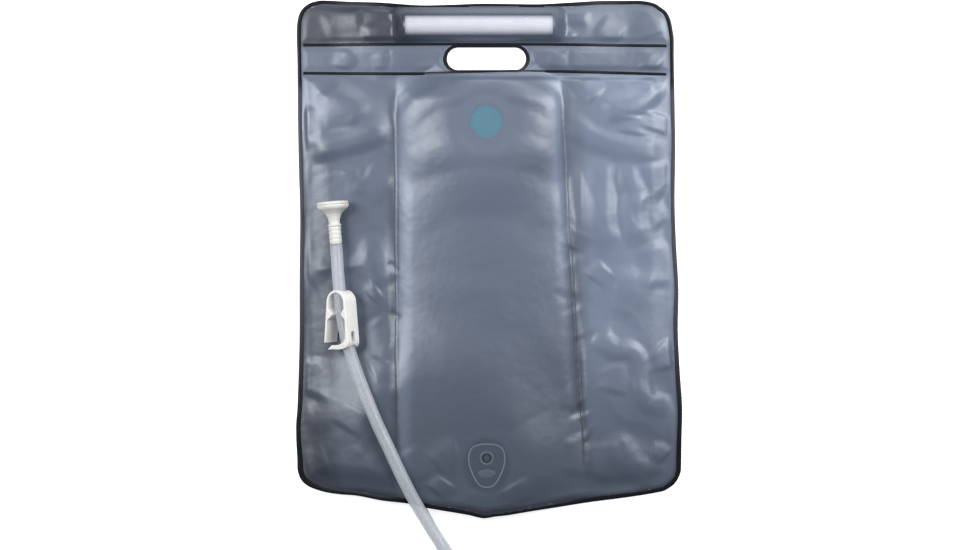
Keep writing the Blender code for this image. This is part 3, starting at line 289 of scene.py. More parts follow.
def distance_to(line: Array, x: Array, y: Array) -> tuple[Array, Array, Array]:
    """Measures each place against a line in plan.

    For each straight run the nearest point is the projection held to its ends, and the
    smallest distance wins.

    Args:
        line: points of the line, whose first two columns are x and y.
        x: the places' x.
        y: the places' y.

    Returns:
        The distance, the side (1 left of the line's travel, -1 right) and the share of the
        line's length at the nearest point.
    """
    nearest = np.full(x.shape, np.inf)
    side, share = np.zeros(x.shape), np.zeros(x.shape)
    runs = np.diff(line[:, :2], axis=0)
    lengths = np.linalg.norm(runs, axis=1)
    starts = np.concatenate([[0], np.cumsum(lengths)])
    for (ax, ay), (dx, dy), length, begun in zip(line[:-1, :2], runs, lengths, starts):
        if length < 1e-9:
            continue
        t = np.clip(((x - ax) * dx + (y - ay) * dy) / length**2, 0, 1)
        away = np.hypot(x - ax - t * dx, y - ay - t * dy)
        painted_light_steps = away < nearest
        nearest = np.where(painted_light_steps, away, nearest)
        side = np.where(painted_light_steps, np.sign((y - ay) * dx - (x - ax) * dy), side)
        share = np.where(painted_light_steps, (begun + t * length) / starts[-1], share)
    return nearest, side, share


def from_segment(x: Array, y: Array, start: Sequence[float], end: Sequence[float]) -> Array:
    """The distance in plan to a straight run."""
    return distance_to(np.array([start[:2], end[:2]]), x, y)[0]


def from_point(x: Array, y: Array, place: Pair, down: float = 0.0) -> Array:
    """The distance in plan to the point that is down towards the outlet end from a place."""
    return np.hypot(x - place[0], y - place[1] + down)


def smooth_step(share: Array) -> Array:
    """0 below 0, 1 above 1, and a smooth S between."""
    held = np.clip(share, 0, 1)
    return held * held * (3 - 2 * held)


def within(x: Array, y: Array, *bounds: Step) -> Array:
    """Multiplies smooth steps over places.

    Args:
        x: the places' x.
        y: the places' y.
        *bounds: the axis of each step, where it starts and how far it reaches, below 0 towards
            lower values.

    Returns:
        0 before any step's start, and 1 past all of them.
    """
    total = 1.0
    for axis, start, reach in bounds:
        total = total * smooth_step(((x, y)[axis] - start) / reach)
    return total


def surface(name: str, points: Array, round_rows: bool = False, round_columns: bool = False,
            keep: Array | None = None) -> Object:
    """Makes a mesh of four-cornered faces from a grid of points.

    Args:
        name: the object's name.
        points: rows by columns by 3.
        round_rows: whether the last row joins the first.
        round_columns: whether the last column joins the first.
        keep: which faces stay, rows by columns of faces.

    Returns:
        The smooth-shaded object, at the origin.
    """
    rows, columns = points.shape[:2]
    index = np.arange(rows * columns).reshape(rows, columns)
    if round_rows:
        index = np.vstack([index, index[:1]])
    if round_columns:
        index = np.hstack([index, index[:, :1]])
    faces = np.stack([index[:-1, :-1], index[:-1, 1:], index[1:, 1:], index[1:, :-1]], axis=-1)
    faces = faces[keep] if keep is not None else faces.reshape(-1, 4)
    used, faces = np.unique(faces, return_inverse=True)
    points, faces = points.reshape(-1, 3)[used], faces.reshape(-1, 4)
    mesh = bpy.data.meshes.new(name)
    mesh.vertices.add(len(points))
    mesh.vertices.foreach_set("co", points.astype(np.float32).ravel())
    mesh.loops.add(faces.size)
    mesh.loops.foreach_set("vertex_index", faces.astype(np.int32).ravel())
    mesh.polygons.add(len(faces))
    mesh.polygons.foreach_set("loop_start", np.arange(len(faces), dtype=np.int32) * 4)
    mesh.update(calc_edges=True)
    mesh.validate()
    mesh.shade_smooth()
    obj = bpy.data.objects.new(name, mesh)
    bpy.context.scene.collection.objects.link(obj)
    return obj


def plan_of(obj: Object) -> tuple[Array, Array]:
    """Reads where a mesh's points are in plan.

    Args:
        obj: the piece.

    Returns:
        The points' x, and their y.
    """
    points = np.empty(len(obj.data.vertices) * 3, np.float32)
    obj.data.vertices.foreach_get("co", points)
    x, y, _ = points.reshape(-1, 3).astype(float).T
    return x, y


def mark(obj: Object, name: str, values: Array) -> None:
    """Writes one value for each point of a mesh, which its finish reads."""
    attribute = obj.data.attributes.new(name, "FLOAT", "POINT")
    attribute.data.foreach_set("value", values.astype(np.float32))


def closed_up(obj: Object, sharp: float = 40.0, fill: bool = False) -> Object:
    """Joins points that meet and turns all faces outwards.

    Args:
        obj: the piece.
        sharp: edges with a larger angle than this, in degrees, stay sharp.
        fill: whether open ends get a lid.

    Returns:
        The same piece.
    """
    bm = bmesh.new()
    bm.from_mesh(obj.data)
    if fill:
        bmesh.ops.holes_fill(bm, edges=[edge for edge in bm.edges if edge.is_boundary], sides=0)
    bmesh.ops.remove_doubles(bm, verts=bm.verts, dist=2e-6)
    bmesh.ops.dissolve_degenerate(bm, edges=bm.edges, dist=1e-7)
    bmesh.ops.recalc_face_normals(bm, faces=bm.faces)
    bm.to_mesh(obj.data)
    bm.free()
    obj.data.shade_smooth()
    obj.data.set_sharp_from_angle(angle=math.radians(sharp))
    return obj


def axes_at(origin: Sequence[float], *axes: Sequence[float]) -> Array:
    """Builds the matrix that carries local axes to directions and the origin to a place.

    Args:
        origin: the place.
        *axes: the directions of local X, Y and Z.

    Returns:
        The 4 by 4 matrix.
    """
    place = np.eye(4)
    place[:3] = np.column_stack([*axes, origin])
    return place


def placed(points: Array, place: Array) -> Array:
    """Carries points by a 4 by 4 matrix."""
    return points @ place[:3, :3].T + place[:3, 3]


def facing(angle: float) -> Array:
    """The flat direction at an angle from X."""
    return np.array([math.cos(angle), math.sin(angle), 0])


def turned(name: str, profile: Array, place: Array, steps: int = 96) -> Object:
    """Turns a closed profile about its own Z axis.

    A point is (radius cos a, radius sin a, height) for each angle a.

    Args:
        name: the object's name.
        profile: (radius, height) points round the section.
        place: where the local axes go.
        steps: how many angles.

    Returns:
        The closed object.
    """
    angle = np.linspace(0, 2 * math.pi, steps, endpoint=False)
    radius, height = (np.repeat(profile[:, [k]], steps, axis=1) for k in (0, 1))
    points = np.stack([radius * np.cos(angle), radius * np.sin(angle), height], axis=-1)
    solid = bool((profile[[0, -1], 0] < 1e-9).all())
    return closed_up(surface(name, placed(points, place), not solid, True))


def swept(name: str, path: Array, across: Array, up: Array, closed: bool = True) -> Object:
    """Carries a closed section along a path that is never upright.

    The section's first direction is the path's direction turned flat to its right, and the
    second is straight up. The ends of an open path are closed by their middles.

    Args:
        name: the object's name.
        path: points of the path.
        across: the section's reach to the right, stations by section points or one row.
        up: the section's height, likewise.
        closed: whether the path joins its own start.

    Returns:
        The closed object.
    """
    ahead = np.roll(path, -1, axis=0) - np.roll(path, 1, axis=0)
    if not closed:
        ahead[0], ahead[-1] = path[1] - path[0], path[-1] - path[-2]
    right = np.column_stack([ahead[:, 1], -ahead[:, 0]])
    right /= np.linalg.norm(right, axis=1, keepdims=True)
    across = np.broadcast_to(across, (len(path), np.shape(across)[-1]))
    up = np.broadcast_to(up, across.shape)
    flat = path[:, None, :2] + right[:, None] * across[..., None]
    points = np.concatenate([flat, (path[:, None, 2] + up)[..., None]], axis=-1)
    if not closed:
        first, last = (np.repeat(end.mean(1, keepdims=True), points.shape[1], 1)
                       for end in (points[:1], points[-1:]))
        points = np.concatenate([first, points, last])
    return closed_up(surface(name, points, closed, True))


def slab(name: str, outline: Array, low: float, high: float, edge: float, place: Array) -> Object:
    """Carries an outline straight from low to high, with rounded rims.

    Towards each end the outline is drawn in along its own normals over a quarter of a round,
    by edge times 1 minus the sine of five even angles.

    Args:
        name: the object's name.
        outline: (x, y) points round the section, either way round.
        low: the lower end along local Z.
        high: the upper end.
        edge: the rims' radius.
        place: where the local axes go.

    Returns:
        The closed object.
    """
    after = np.roll(outline, -1, axis=0)
    if np.sum(outline[:, 0] * after[:, 1] - after[:, 0] * outline[:, 1]) < 0:
        outline = outline[::-1]
    ahead = np.roll(outline, -1, axis=0) - np.roll(outline, 1, axis=0)
    outwards = np.column_stack([ahead[:, 1], -ahead[:, 0]])
    outwards /= np.linalg.norm(outwards, axis=1, keepdims=True) + 1e-12
    turn = np.linspace(0, math.pi / 2, 5)
    inset = edge * (1 - np.sin(turn))
    level = np.concatenate([low + edge * (1 - np.cos(turn)), high - edge * (1 - np.cos(turn[::-1]))])
    inset = np.concatenate([inset, inset[::-1]])
    flat = outline[None] - outwards[None] * inset[:, None, None]
    points = np.concatenate([flat, np.broadcast_to(level[:, None, None], (*flat.shape[:2], 1))], -1)
    return closed_up(surface(name, placed(points, place), False, True), fill=True)


def cut(obj: Object, *cutters: Object) -> Object:
    """Takes the cutters out of a piece for good, and removes them.

    Args:
        obj: the piece.
        *cutters: closed objects.

    Returns:
        The same piece.
    """
    for cutter in cutters:
        boolean = obj.modifiers.new(cutter.name, "BOOLEAN")
        boolean.operation, boolean.solver, boolean.object = "DIFFERENCE", "EXACT", cutter
    graph = bpy.context.evaluated_depsgraph_get()
    fresh = bpy.data.meshes.new_from_object(obj.evaluated_get(graph))
    obj.modifiers.clear()
    obj.data = fresh
    for cutter in cutters:
        bpy.data.objects.remove(cutter)
    return closed_up(obj)


def round_pin(name: str, radius: float, low: float, high: float, place: Array) -> Object:
    """A plain round pin, used to cut holes."""
    return turned(name, np.array([[0, low], [radius, low], [radius, high], [0, high]]), place, 48)


# The lying bag's shape, with measures in metres

HALF_WIDTH, HALF_LENGTH, POINT_DROP = 0.2022, 0.2710, 0.0310
PLAN_HALF = (0.2030, 0.2715)
EDGE_WIDTH, SLOT_RING, LINE_HALF = 0.0046, 0.0030, 0.0016
SLEEVE_LINE, CHAMBER_LINE = 0.2260, 0.1960
TUBE_AT, TUBE_HALF, TUBE_RADIUS = (-0.01112, 0.2460), 0.0777, 0.0105
TUBE_RUN = ((TUBE_AT[0] - TUBE_HALF, TUBE_AT[1]), (TUBE_AT[0] + TUBE_HALF, TUBE_AT[1]))
SLEEVE_LEVEL, SLEEVE_RISE, SLEEVE_UP, SLEEVE_DOWN, SLEEVE_END = 0.0055, 0.0169, 0.0204, 0.0184, 0.0150
SLOT_AT, SLOT_RUN, SLOT_HALF = (-0.00324, 0.2110), 0.0296, 0.0119
FILLER_AT, FILLER_LIFT, FILLER_REACH, FILLER_FALL = (-0.00324, 0.1450), 0.0147, 0.0351, 0.84
OUTLET_AT, OUTLET_REACH, OUTLET_BORE = (-0.00291, -0.2080), 0.0284, 0.0052
HOSE_RADIUS, HOSE_BORE, HOSE_LIFT, HOSE_FALL = 0.0065, 0.0045, 0.0137, 0.72
LOOP_AT, LOOP_RADIUS = (-0.0562, -0.1916), 0.0520
APRON, TUBE_APRON, LIFT_FALL = 0.0060, 0.0250, 0.0600
PILLOW_RISE, PILLOW_LEFT, PILLOW_RIGHT, PILLOW_WIDENS = 0.0112, -0.0982, 0.0706, 0.0318
DOME_SHARE, BEVEL_WIDTH, TOP_ARCH, LOW_ARCH = 0.68, 0.0190, 0.1375, 0.1843
SIDE_RISE, FOLD_RISE, SWELL_START = 0.0044, 0.0014, 0.03
AIR_FALL, PILLOW_SKIRT, PILLOW_FADE = 0.0300, 0.0090, 0.0130
FOLD_GAIN, FOLD_RIGHT, FOLD_WIDE, FOLD_ENDS, FOLD_BLUNT = 1.5, 1.2, 6, 0.22, 0.05
RIDGE_SLACK, CREASE_SLACK = 2.3, 1.6
TWO_FILMS, PARTING = 1.2 * MM, 0.7 * MM
WARP, WARP_CELLS, SHEAR = 0.010, (0.055, 0.050), 0.35
# The unevenness: each layer's cell, and its height in millimetres
RUMPLE = ((0.050, 2.2), (0.031, 0.35), (0.017, 0.05))
HEAD_FACE, HEAD_HEADING, HEAD_LEVEL = (-0.1642, 0.0616), -85.51, 0.0233
HEAD_LENGTH, HEAD_RADIUS = 0.0453, 0.0166
CLAMP_TOP, CLAMP_FOOT, CLAMP_REACH = (-0.1555, -0.0319), (-0.1530, -0.0900), 0.0160
CLAMP_HEADING, CLAMP_ROLL = -88.0, 40.0


def fall(past: Array) -> Array:
    """1 where something lies under the bag, falling in an S to 0 over the lift's fall."""
    return 1 - smooth_step(past / LIFT_FALL)


def bell(away: Array, width: float) -> Array:
    """1 at 0, falling on both sides as e to the minus square of away over width."""
    return np.exp(-(away / width) ** 2)


def lift(x: Array, y: Array) -> Array:
    """Height of the weld plane over the floor.

    The films rise over the grip tube, the filler, the elbow and the hose: the largest of
    each one's height times the fall of the distance from it.

    Args:
        x: the places' x.
        y: the places' y.

    Returns:
        The height in metres.
    """
    tube = from_segment(x, y, *TUBE_RUN) - TUBE_APRON
    filler = from_point(x, y, FILLER_AT) - FILLER_REACH
    loop = from_point(x, y, LOOP_AT) - LOOP_RADIUS - 2 * HOSE_RADIUS
    outlet = from_point(x, y, OUTLET_AT, APRON) - OUTLET_REACH
    leaving = from_segment(x, y, HOSE_ROUTE[-9], HOSE_ROUTE[-11]) - HOSE_RADIUS - APRON
    hose = np.minimum(np.minimum(loop, outlet), leaving)
    fitted = np.maximum(SLEEVE_LEVEL * fall(tube), FILLER_LIFT * fall(FILLER_FALL * filler))
    return np.maximum(fitted, HOSE_LIFT * fall(HOSE_FALL * hose))


def lifted(path: Array) -> Array:
    """A line in plan, raised to the weld plane."""
    return np.column_stack([path[:, :2], lift(path[:, 0], path[:, 1])])


def over_tube(x: Array, y: Array) -> Array:
    """How much of the grip tube's height the sleeve has.

    Args:
        x: the places' x.
        y: the places' y.

    Returns:
        1 along the tube's top, 0 at the welds beside it and past its ends.
    """
    up = y - TUBE_AT[1]
    across = np.where(up > 0, up / SLEEVE_UP, -up / SLEEVE_DOWN)
    past = np.abs(x - TUBE_AT[0]) - TUBE_HALF
    return (1 - np.clip(across, 0, 1) ** 2.2) * (1 - smooth_step(past / SLEEVE_END))


def pillow_right(y: Array) -> Array:
    """The right long fold's x, which leans outwards towards the outlet end."""
    return PILLOW_RIGHT + PILLOW_WIDENS * np.clip((HALF_LENGTH - y) / (2 * HALF_LENGTH), 0, 1)


def air(x: Array, y: Array) -> tuple[Array, Array, Array]:
    """Height of the air between the films in the water chamber.

    Between the two long folds it is a pillow: a dome of 1 minus the square of the share of
    the way out from the middle, on a bevel that rises by 1 minus the square of what is left of
    its width. It is arched at both ends. Beside the folds there is a low swell, half a sine
    wave over the square root of the share of the way out.

    Args:
        x: the places' x.
        y: the places' y.

    Returns:
        The pillow, the swell and 1 on the pillow or 0 beside it.
    """
    left, right = PILLOW_LEFT, pillow_right(y)
    middle, half = (left + right) / 2, (right - left) / 2
    across = np.abs(x - middle) / half
    from_top = np.clip((CHAMBER_LINE - y) / TOP_ARCH, 0, 1)
    arch = np.sqrt(1 - (1 - from_top) ** 2) * smooth_step((y + HALF_LENGTH) / LOW_ARCH)
    bevel = 1 - (1 - np.clip((1 - across) * half / BEVEL_WIDTH, 0, 1)) ** 2
    dome = DOME_SHARE * np.clip(1 - across**2, 0, 1) + (1 - DOME_SHARE) * bevel
    beside = np.clip((np.abs(x - middle) - half) / (HALF_WIDTH - half), 0, 1)
    low, high = math.sqrt(SWELL_START), math.sqrt(1 + SWELL_START)
    beside = (np.sqrt(beside + SWELL_START) - low) / (high - low)
    swell = FOLD_RISE + (SIDE_RISE - FOLD_RISE) * np.sin(math.pi * beside)
    low_edge = -HALF_LENGTH + POINT_DROP * np.abs(x) / HALF_WIDTH + EDGE_WIDTH
    sides = np.minimum(CHAMBER_LINE - y, HALF_WIDTH - EDGE_WIDTH - np.abs(x))
    inside = smooth_step(np.minimum(sides, y - low_edge) / AIR_FALL)
    on_it = smooth_step(((1 - across) * half + PILLOW_SKIRT) / PILLOW_FADE)
    swell = np.where(across < 1, FOLD_RISE, swell)
    return PILLOW_RISE * dome * arch * inside, swell * inside, on_it * inside


def lattice(x: Array, y: Array, cell: float, seed: int) -> Array:
    """Blends the random values of a square grid's four nearest corners by S curves.

    Args:
        x: the places' x.
        y: the places' y.
        cell: the corners' spacing in metres.
        seed: which set of random values.

    Returns:
        Heights from -1 to 1.
    """
    values = np.random.default_rng(seed).uniform(-1, 1, (96, 96))
    u, v = (x + 0.5) / cell, (y + 0.5) / cell
    column, row = np.floor(u).astype(int) % 95, np.floor(v).astype(int) % 95
    s, t = smooth_step(u - np.floor(u)), smooth_step(v - np.floor(v))
    low = values[row, column] * (1 - s) + values[row, column + 1] * s
    high = values[row + 1, column] * (1 - s) + values[row + 1, column + 1] * s
    return low * (1 - t) + high * t


def rumple(x: Array, y: Array) -> Array:
    """The film's loose unevenness: soft swells and, finer, ridges where the sign changes.

    Args:
        x: the places' x.
        y: the places' y.

    Returns:
        The height in metres.
    """
    bent_x = x + WARP * lattice(x, y, WARP_CELLS[0], 3) + SHEAR * y
    bent_y = y + WARP * lattice(x, y, WARP_CELLS[1], 4)
    (soft_cell, soft), (ridged_cell, ridged), (fine_cell, fine) = RUMPLE
    soft *= lattice(bent_x, bent_y, soft_cell, 5)
    ridged *= 1 - 2 * np.abs(lattice(bent_x, bent_y, ridged_cell, 6))
    fine *= 1 - 2 * np.abs(lattice(bent_y, bent_x, fine_cell, 7))
    return (soft + ridged + fine) * MM


def fold_line(row: Sequence[float]) -> Array:
    """The line that a fold of the table follows, in metres."""
    return through(np.reshape(row[3:], (-1, 2)).astype(float) * MM, 6)


def tapered(share: Array, run: float) -> Array:
    """1 along a line, falling in an S to 0 over a share run at each of its ends."""
    return smooth_step(np.minimum(share, 1 - share) / run)


def fold_height(x: Array, y: Array) -> Array:
    """Adds up the folds.

    A ridge is its rise times the half-wave cosine of the distance over the width, and a
    crease is its rise times the square of 1 minus that, both fading out towards the fold's two
    ends. The distance is rounded near 0, so that no fold has a knife edge.

    Args:
        x: the places' x.
        y: the places' y.

    Returns:
        The height in metres.
    """
    total = np.zeros(x.shape)
    blunt = math.sqrt(FOLD_BLUNT)
    for row in FOLDS:
        rise, left, right = row[:3]
        line = fold_line(row)
        slack = (RIDGE_SLACK if rise > 0 else CREASE_SLACK) * MM
        reach = max(left, right * FOLD_RIGHT) * slack
        near = ((x > line[:, 0].min() - reach) & (x < line[:, 0].max() + reach)
                & (y > line[:, 1].min() - reach) & (y < line[:, 1].max() + reach))
        away, side, share = distance_to(line, x[near], y[near])
        width = np.where(side > 0, left, right * FOLD_RIGHT) * slack
        off = np.clip(np.sqrt((away / width) ** 2 + FOLD_BLUNT) - blunt, 0, 1)
        form = 0.5 + 0.5 * np.cos(math.pi * off) if rise > 0 else (1 - off) ** 2
        gain = FOLD_GAIN * min(1, left / FOLD_WIDE) * rise * MM
        total[near] += gain * form * tapered(share, FOLD_ENDS)
    return total


def from_slot(x: Array, y: Array) -> Array:
    """Distance outside the hand slot's edge, a rectangle with half-round ends."""
    ends = [(SLOT_AT[0] + side * SLOT_RUN, SLOT_AT[1]) for side in (-1, 1)]
    return from_segment(x, y, *ends) - SLOT_HALF


def outline_path(count: int) -> Array:
    """The photographed outline as an even closed line, clockwise, without its repeated end."""
    return even_loop(through(np.array(OUTLINE) * MM, 12, closed=True), count)


def slot_path(count: int) -> Array:
    """Draws the hand slot's edge.

    Args:
        count: how many points it gets.

    Returns:
        The even closed line, anticlockwise.
    """
    quarter = math.pi / 2
    angle = np.concatenate([np.linspace(-quarter, quarter, 24), np.linspace(quarter, 3 * quarter, 24)])
    side = np.repeat([SLOT_RUN, -SLOT_RUN], 24)
    return even_loop(np.column_stack([SLOT_AT[0] + side + SLOT_HALF * np.cos(angle),
                                      SLOT_AT[1] + SLOT_HALF * np.sin(angle)]), count)


class BagPlan:
    """A grid over the bag in plan, with how far each place is inside the outline."""

    def __init__(self, pitch: float) -> None:
        """Lays the grid.

        Args:
            pitch: the grid's spacing in metres.
        """
        spans = [np.linspace(-half, half, int(round(2 * half / pitch)) + 1) for half in PLAN_HALF]
        self.x, self.y = np.meshgrid(*spans)
        edge = outline_path(360)
        away, side, _ = distance_to(np.vstack([edge, edge[:1]]), self.x, self.y)
        self.inside = np.where(side < 0, away, -away)
        self.slot = from_slot(self.x, self.y)

    def pick(self, values: Array, x: Array, y: Array) -> Array:
        """Reads values of the grid at some of its own places.

        Args:
            values: one value for each place of the grid.
            x: the places' x.
            y: the places' y.

        Returns:
            The values there.
        """
        column = np.rint((x - self.x[0, 0]) / (self.x[0, 1] - self.x[0, 0])).astype(int)
        row = np.rint((y - self.y[0, 0]) / (self.y[1, 0] - self.y[0, 0])).astype(int)
        return values[row, column]

    def faces(self, margin: float, slot_margin: float, *holes: Triple) -> Array:
        """Picks the faces inside the outline and clear of the slot and the round holes.

        Args:
            margin: how far inside the outline.
            slot_margin: how far outside the slot's edge.
            *holes: the x, y and radius of each hole.

        Returns:
            Whether each face stays, rows by columns.
        """
        keep = (self.inside > margin) & (self.slot > slot_margin)
        for centre_x, centre_y, radius in holes:
            keep &= from_point(self.x, self.y, (centre_x, centre_y)) > radius
        return keep[:-1, :-1] & keep[1:, :-1] & keep[:-1, 1:] & keep[1:, 1:]


# Finishes


def linear(colour: str, alpha: float = 1.0) -> tuple[float, float, float, float]:
    """Turns an sRGB hex colour into linear light.

    Each part c becomes c / 12.92 up to 0.04045, and above it ((c + 0.055) / 1.055) ^ 2.4.

    Args:
        colour: the colour as # and six hex digits.
        alpha: its opacity.

    Returns:
        Red, green, blue and alpha.
    """
    parts = [int(colour[k:k + 2], 16) / 255 for k in (1, 3, 5)]
    r, g, b = (c / 12.92 if c <= 0.04045 else ((c + 0.055) / 1.055) ** 2.4 for c in parts)
    return r, g, b, alpha


def fresh_tree(owner: bpy.types.ID) -> Tree:
    """Turns on the nodes of a material or world, and empties them.

    Args:
        owner: the material or world.

    Returns:
        Its empty node tree.
    """
    owner.use_nodes = True
    owner.node_tree.nodes.clear()
    return owner.node_tree


def add(tree: Tree, kind: str, inputs: dict[str | int, Any] | None = None,
        **settings: Any) -> bpy.types.Node:
    """Adds a shader node.

    Args:
        tree: the node tree.
        kind: the node's type name without its first word, ShaderNode.
        inputs: a value or a socket to link for each named input.
        **settings: the node's own settings.

    Returns:
        The node.
    """
    node = tree.nodes.new(f"ShaderNode{kind}")
    for name, value in settings.items():
        setattr(node, name, value)
    for name, value in (inputs or {}).items():
        if isinstance(value, Socket):
            tree.links.new(value, node.inputs[name])
        else:
            node.inputs[name].default_value = value
    return node


def mixed(tree: Tree, factor: Socket, first: Any, second: Any) -> Socket:
    """Mixes two colours."""
    node = add(tree, "Mix", {"Factor": factor, "A": first, "B": second}, data_type="RGBA")
    return next(socket for socket in node.outputs if socket.type == "RGBA")


def spread(tree: Tree, value: Socket, at_low: float, at_high: float) -> Socket:
    """Carries 0.3 to 0.7 of a noise, or 0 to 1 of anything else, to two values.

    Args:
        tree: the node tree.
        value: the socket that is carried.
        at_low: what its low end becomes.
        at_high: what its high end becomes.

    Returns:
        The socket of the new value.
    """
    low, high = (0.3, 0.7) if value.node.bl_idname == "ShaderNodeTexNoise" else (0.0, 1.0)
    return add(tree, "MapRange", {"Value": value, "From Min": low, "From Max": high,
                                  "To Min": at_low, "To Max": at_high}).outputs["Result"]


@dataclass(frozen=True)
class Relief:
    """One layer of fine unevenness: its grain size and its depth, in millimetres."""

    size: float
    depth: float
    detail: float = 3.0
    stretch: Triple = (1.0, 1.0, 1.0)

    def noise(self, tree: Tree, place: Socket) -> Socket:
        """Adds a noise of the layer's grain size.

        Args:
            tree: the node tree.
            place: the object coordinates.

        Returns:
            The noise's socket.
        """
        mapped = add(tree, "Mapping", {"Vector": place, "Scale": self.stretch})
        return add(tree, "TexNoise", {
            "Vector": mapped.outputs["Vector"], "Scale": 1 / (self.size * MM),
            "Detail": self.detail, "Roughness": 0.55}).outputs["Fac"]


@dataclass(frozen=True)
class Finish:
    """How one material looks.

    colour and shade are mixed by a noise of patch millimetres, and relief is raised by bump
    nodes. The vertex attribute named painted_light_from mixes in the colour haze over the base colour:
    on the frosted film partly its real look where it lies on the black one and partly painted
    shade and painted highlight, on the welds a painted sheen. The one named clear_from lowers
    alpha to clear_alpha. Without it, see_through_edge is the alpha seen edge-on.
    """

    name: str
    slot: Slot
    colour: str
    shade: str
    roughness: float
    relief: tuple[Relief, ...] = ()
    patch: float = 20.0
    rough_spread: float = 0.08
    alpha: float = 1.0
    clear_from: str = ""
    clear_alpha: float = 0.3
    specular: float = 0.5
    ior: float = 1.46
    see_through_edge: float = 0.0
    sheen: str = "#ffffff"
    painted_light_from: str = ""
    painted_light: str = "#000000"

    def material(self) -> bpy.types.Material:
        """Builds the node material, once.

        Returns:
            The material.
        """
        title = f"{self.name}_finish"
        known = bpy.data.materials.get(title)
        if known:
            return known
        material = bpy.data.materials.new(title)
        tree = fresh_tree(material)
        place = add(tree, "TexCoord").outputs["Object"]
        patches = Relief(self.patch, 0, 4.0).noise(tree, place)
        base = mixed(tree, spread(tree, patches, 0.0, 1.0), linear(self.shade), linear(self.colour))
        # Painted light: an attribute mixes a second colour over the base, painted shade on the film and
        # painted sheen on the welds.
        if self.painted_light_from:
            painted_light = add(tree, "Attribute", attribute_name=self.painted_light_from).outputs["Fac"]
            base = mixed(tree, painted_light, base, linear(self.painted_light))
        alpha = self.alpha
        if self.clear_from:
            clear = add(tree, "Attribute", attribute_name=self.clear_from).outputs["Fac"]
            alpha = spread(tree, clear, self.alpha, self.clear_alpha)
        elif self.see_through_edge:
            rim = add(tree, "LayerWeight", {"Blend": 0.35}).outputs["Facing"]
            alpha = spread(tree, rim, self.alpha, self.see_through_edge)
        raised: dict[str | int, Any] = {}
        for layer in self.relief:
            bump = add(tree, "Bump", {"Height": layer.noise(tree, place), "Strength": 1.0,
                                      "Distance": layer.depth * MM, **raised})
            raised = {"Normal": bump.outputs["Normal"]}
        shader = add(tree, "BsdfPrincipled", {
            "Base Color": base, "IOR": self.ior, "Specular IOR Level": self.specular,
            "Specular Tint": linear(self.sheen), "Alpha": alpha, **raised,
            "Roughness": spread(tree, patches, self.roughness + self.rough_spread,
                                self.roughness - self.rough_spread)})
        add(tree, "OutputMaterial", {"Surface": shader.outputs["BSDF"]})
        return material


# Calendered PVC film with a frosted face, 0.35 mm thick. Its mixed-in dark colour is partly the film
# lying on the black one and partly painted shade and painted highlight.
FROSTED = Finish(
    "frosted_film", Slot.FROSTED_FILM, "#727f95", "#69758a", 0.38,
    (Relief(24, 0.6, 2.0), Relief(7, 0.08, 2.0), Relief(1.1, 0.010, 2.0)), 45,
    rough_spread=0.04, alpha=0.80, clear_from="clear", clear_alpha=0.16, specular=1.0,
    painted_light_from="contact_and_shade", painted_light="#2f3542", ior=1.52, sheen="#e9eef6",
)
# Calendered black PVC film, which takes up the sun's heat
BLACK = Finish(
    "black_film", Slot.BLACK_FILM, "#17181b", "#101114", 0.32,
    (Relief(14, 0.35, 3.0), Relief(1.6, 0.02, 2.0)), 30,
)
# Both films melted together under a heated bar; the lighter colour mixed in on the band's long sides is a
# painted sheen.
FUSED = Finish(
    "fused_film", Slot.FUSED_FILM, "#0c1019", "#080b12", 0.34,
    (Relief(5, 0.10, 3.0), Relief(0.9, 0.02, 1.0)), 12, rough_spread=0.06, specular=0.25,
    painted_light_from="painted_light", painted_light="#3b3e45",
)
# Extruded rigid PVC pipe, drawn lengthwise and sawn off
TUBE_WHITE = Finish(
    "tube_white", Slot.TUBE, "#e9e9f0", "#dedee8", 0.40,
    (Relief(2.2, 0.02, 2.0, (0.1, 1.0, 1.0)),), 18,
)
# Fittings moulded from PVC: black, smoky clear, and the bead of clear film squeezed out, whose pale
# colour is partly a painted highlight
GRAIN = (Relief(1.2, 0.015),)
DARK = Finish("fitting_dark", Slot.FITTING_DARK, "#23262b", "#1b1e22", 0.42, (Relief(0.8, 0.02),), 8)
SMOKE = Finish("fitting_clear", Slot.FITTING_CLEAR, "#20252d", "#1b1f26", 0.30, GRAIN, 10)
PALE_SMOKE = Finish("fitting_boss", Slot.FITTING_CLEAR, "#5f6570", "#545a65", 0.34, GRAIN, 6)
PALE_SHEEN = Finish(
    "bead_clear_sheen", Slot.FITTING_CLEAR, "#aab6c6", "#9aa6b8", 0.30, (Relief(1.2, 0.02),), 9, alpha=0.85,
)
# Moulded soft rubber, and the plug moulded from teal polyethylene
RUBBER = Finish("seal_rubber", Slot.SEAL, "#202022", "#18181a", 0.68, (Relief(0.5, 0.02),), 5)
TEAL = Finish("cap_teal", Slot.CAP, "#319bac", "#298a9b", 0.36, (Relief(1.0, 0.015),), 9)
# Extruded clear soft PVC hose
CLEAR_HOSE = Finish(
    "hose_clear", Slot.HOSE, "#d7dbe2", "#c8cdd6", 0.24,
    (Relief(9, 0.05, 2.0),), 26, alpha=0.25, see_through_edge=0.86, specular=0.7,
)
# White polypropylene, moulded: the clamp and the shower head, whose copy of the same white is made
# darker, a painted shade
MOULD_GRAIN = (Relief(1.1, 0.012), Relief(12, 0.05, 1.0))
WHITE = Finish("moulded_white", Slot.MOULDED, "#e5e5e3", "#dddcd9", 0.36, MOULD_GRAIN, 16)
HEAD_WHITE_SHADED = Finish("head_white_shaded", Slot.MOULDED, "#cfcfcd", "#c8c7c4", 0.42, MOULD_GRAIN, 16)


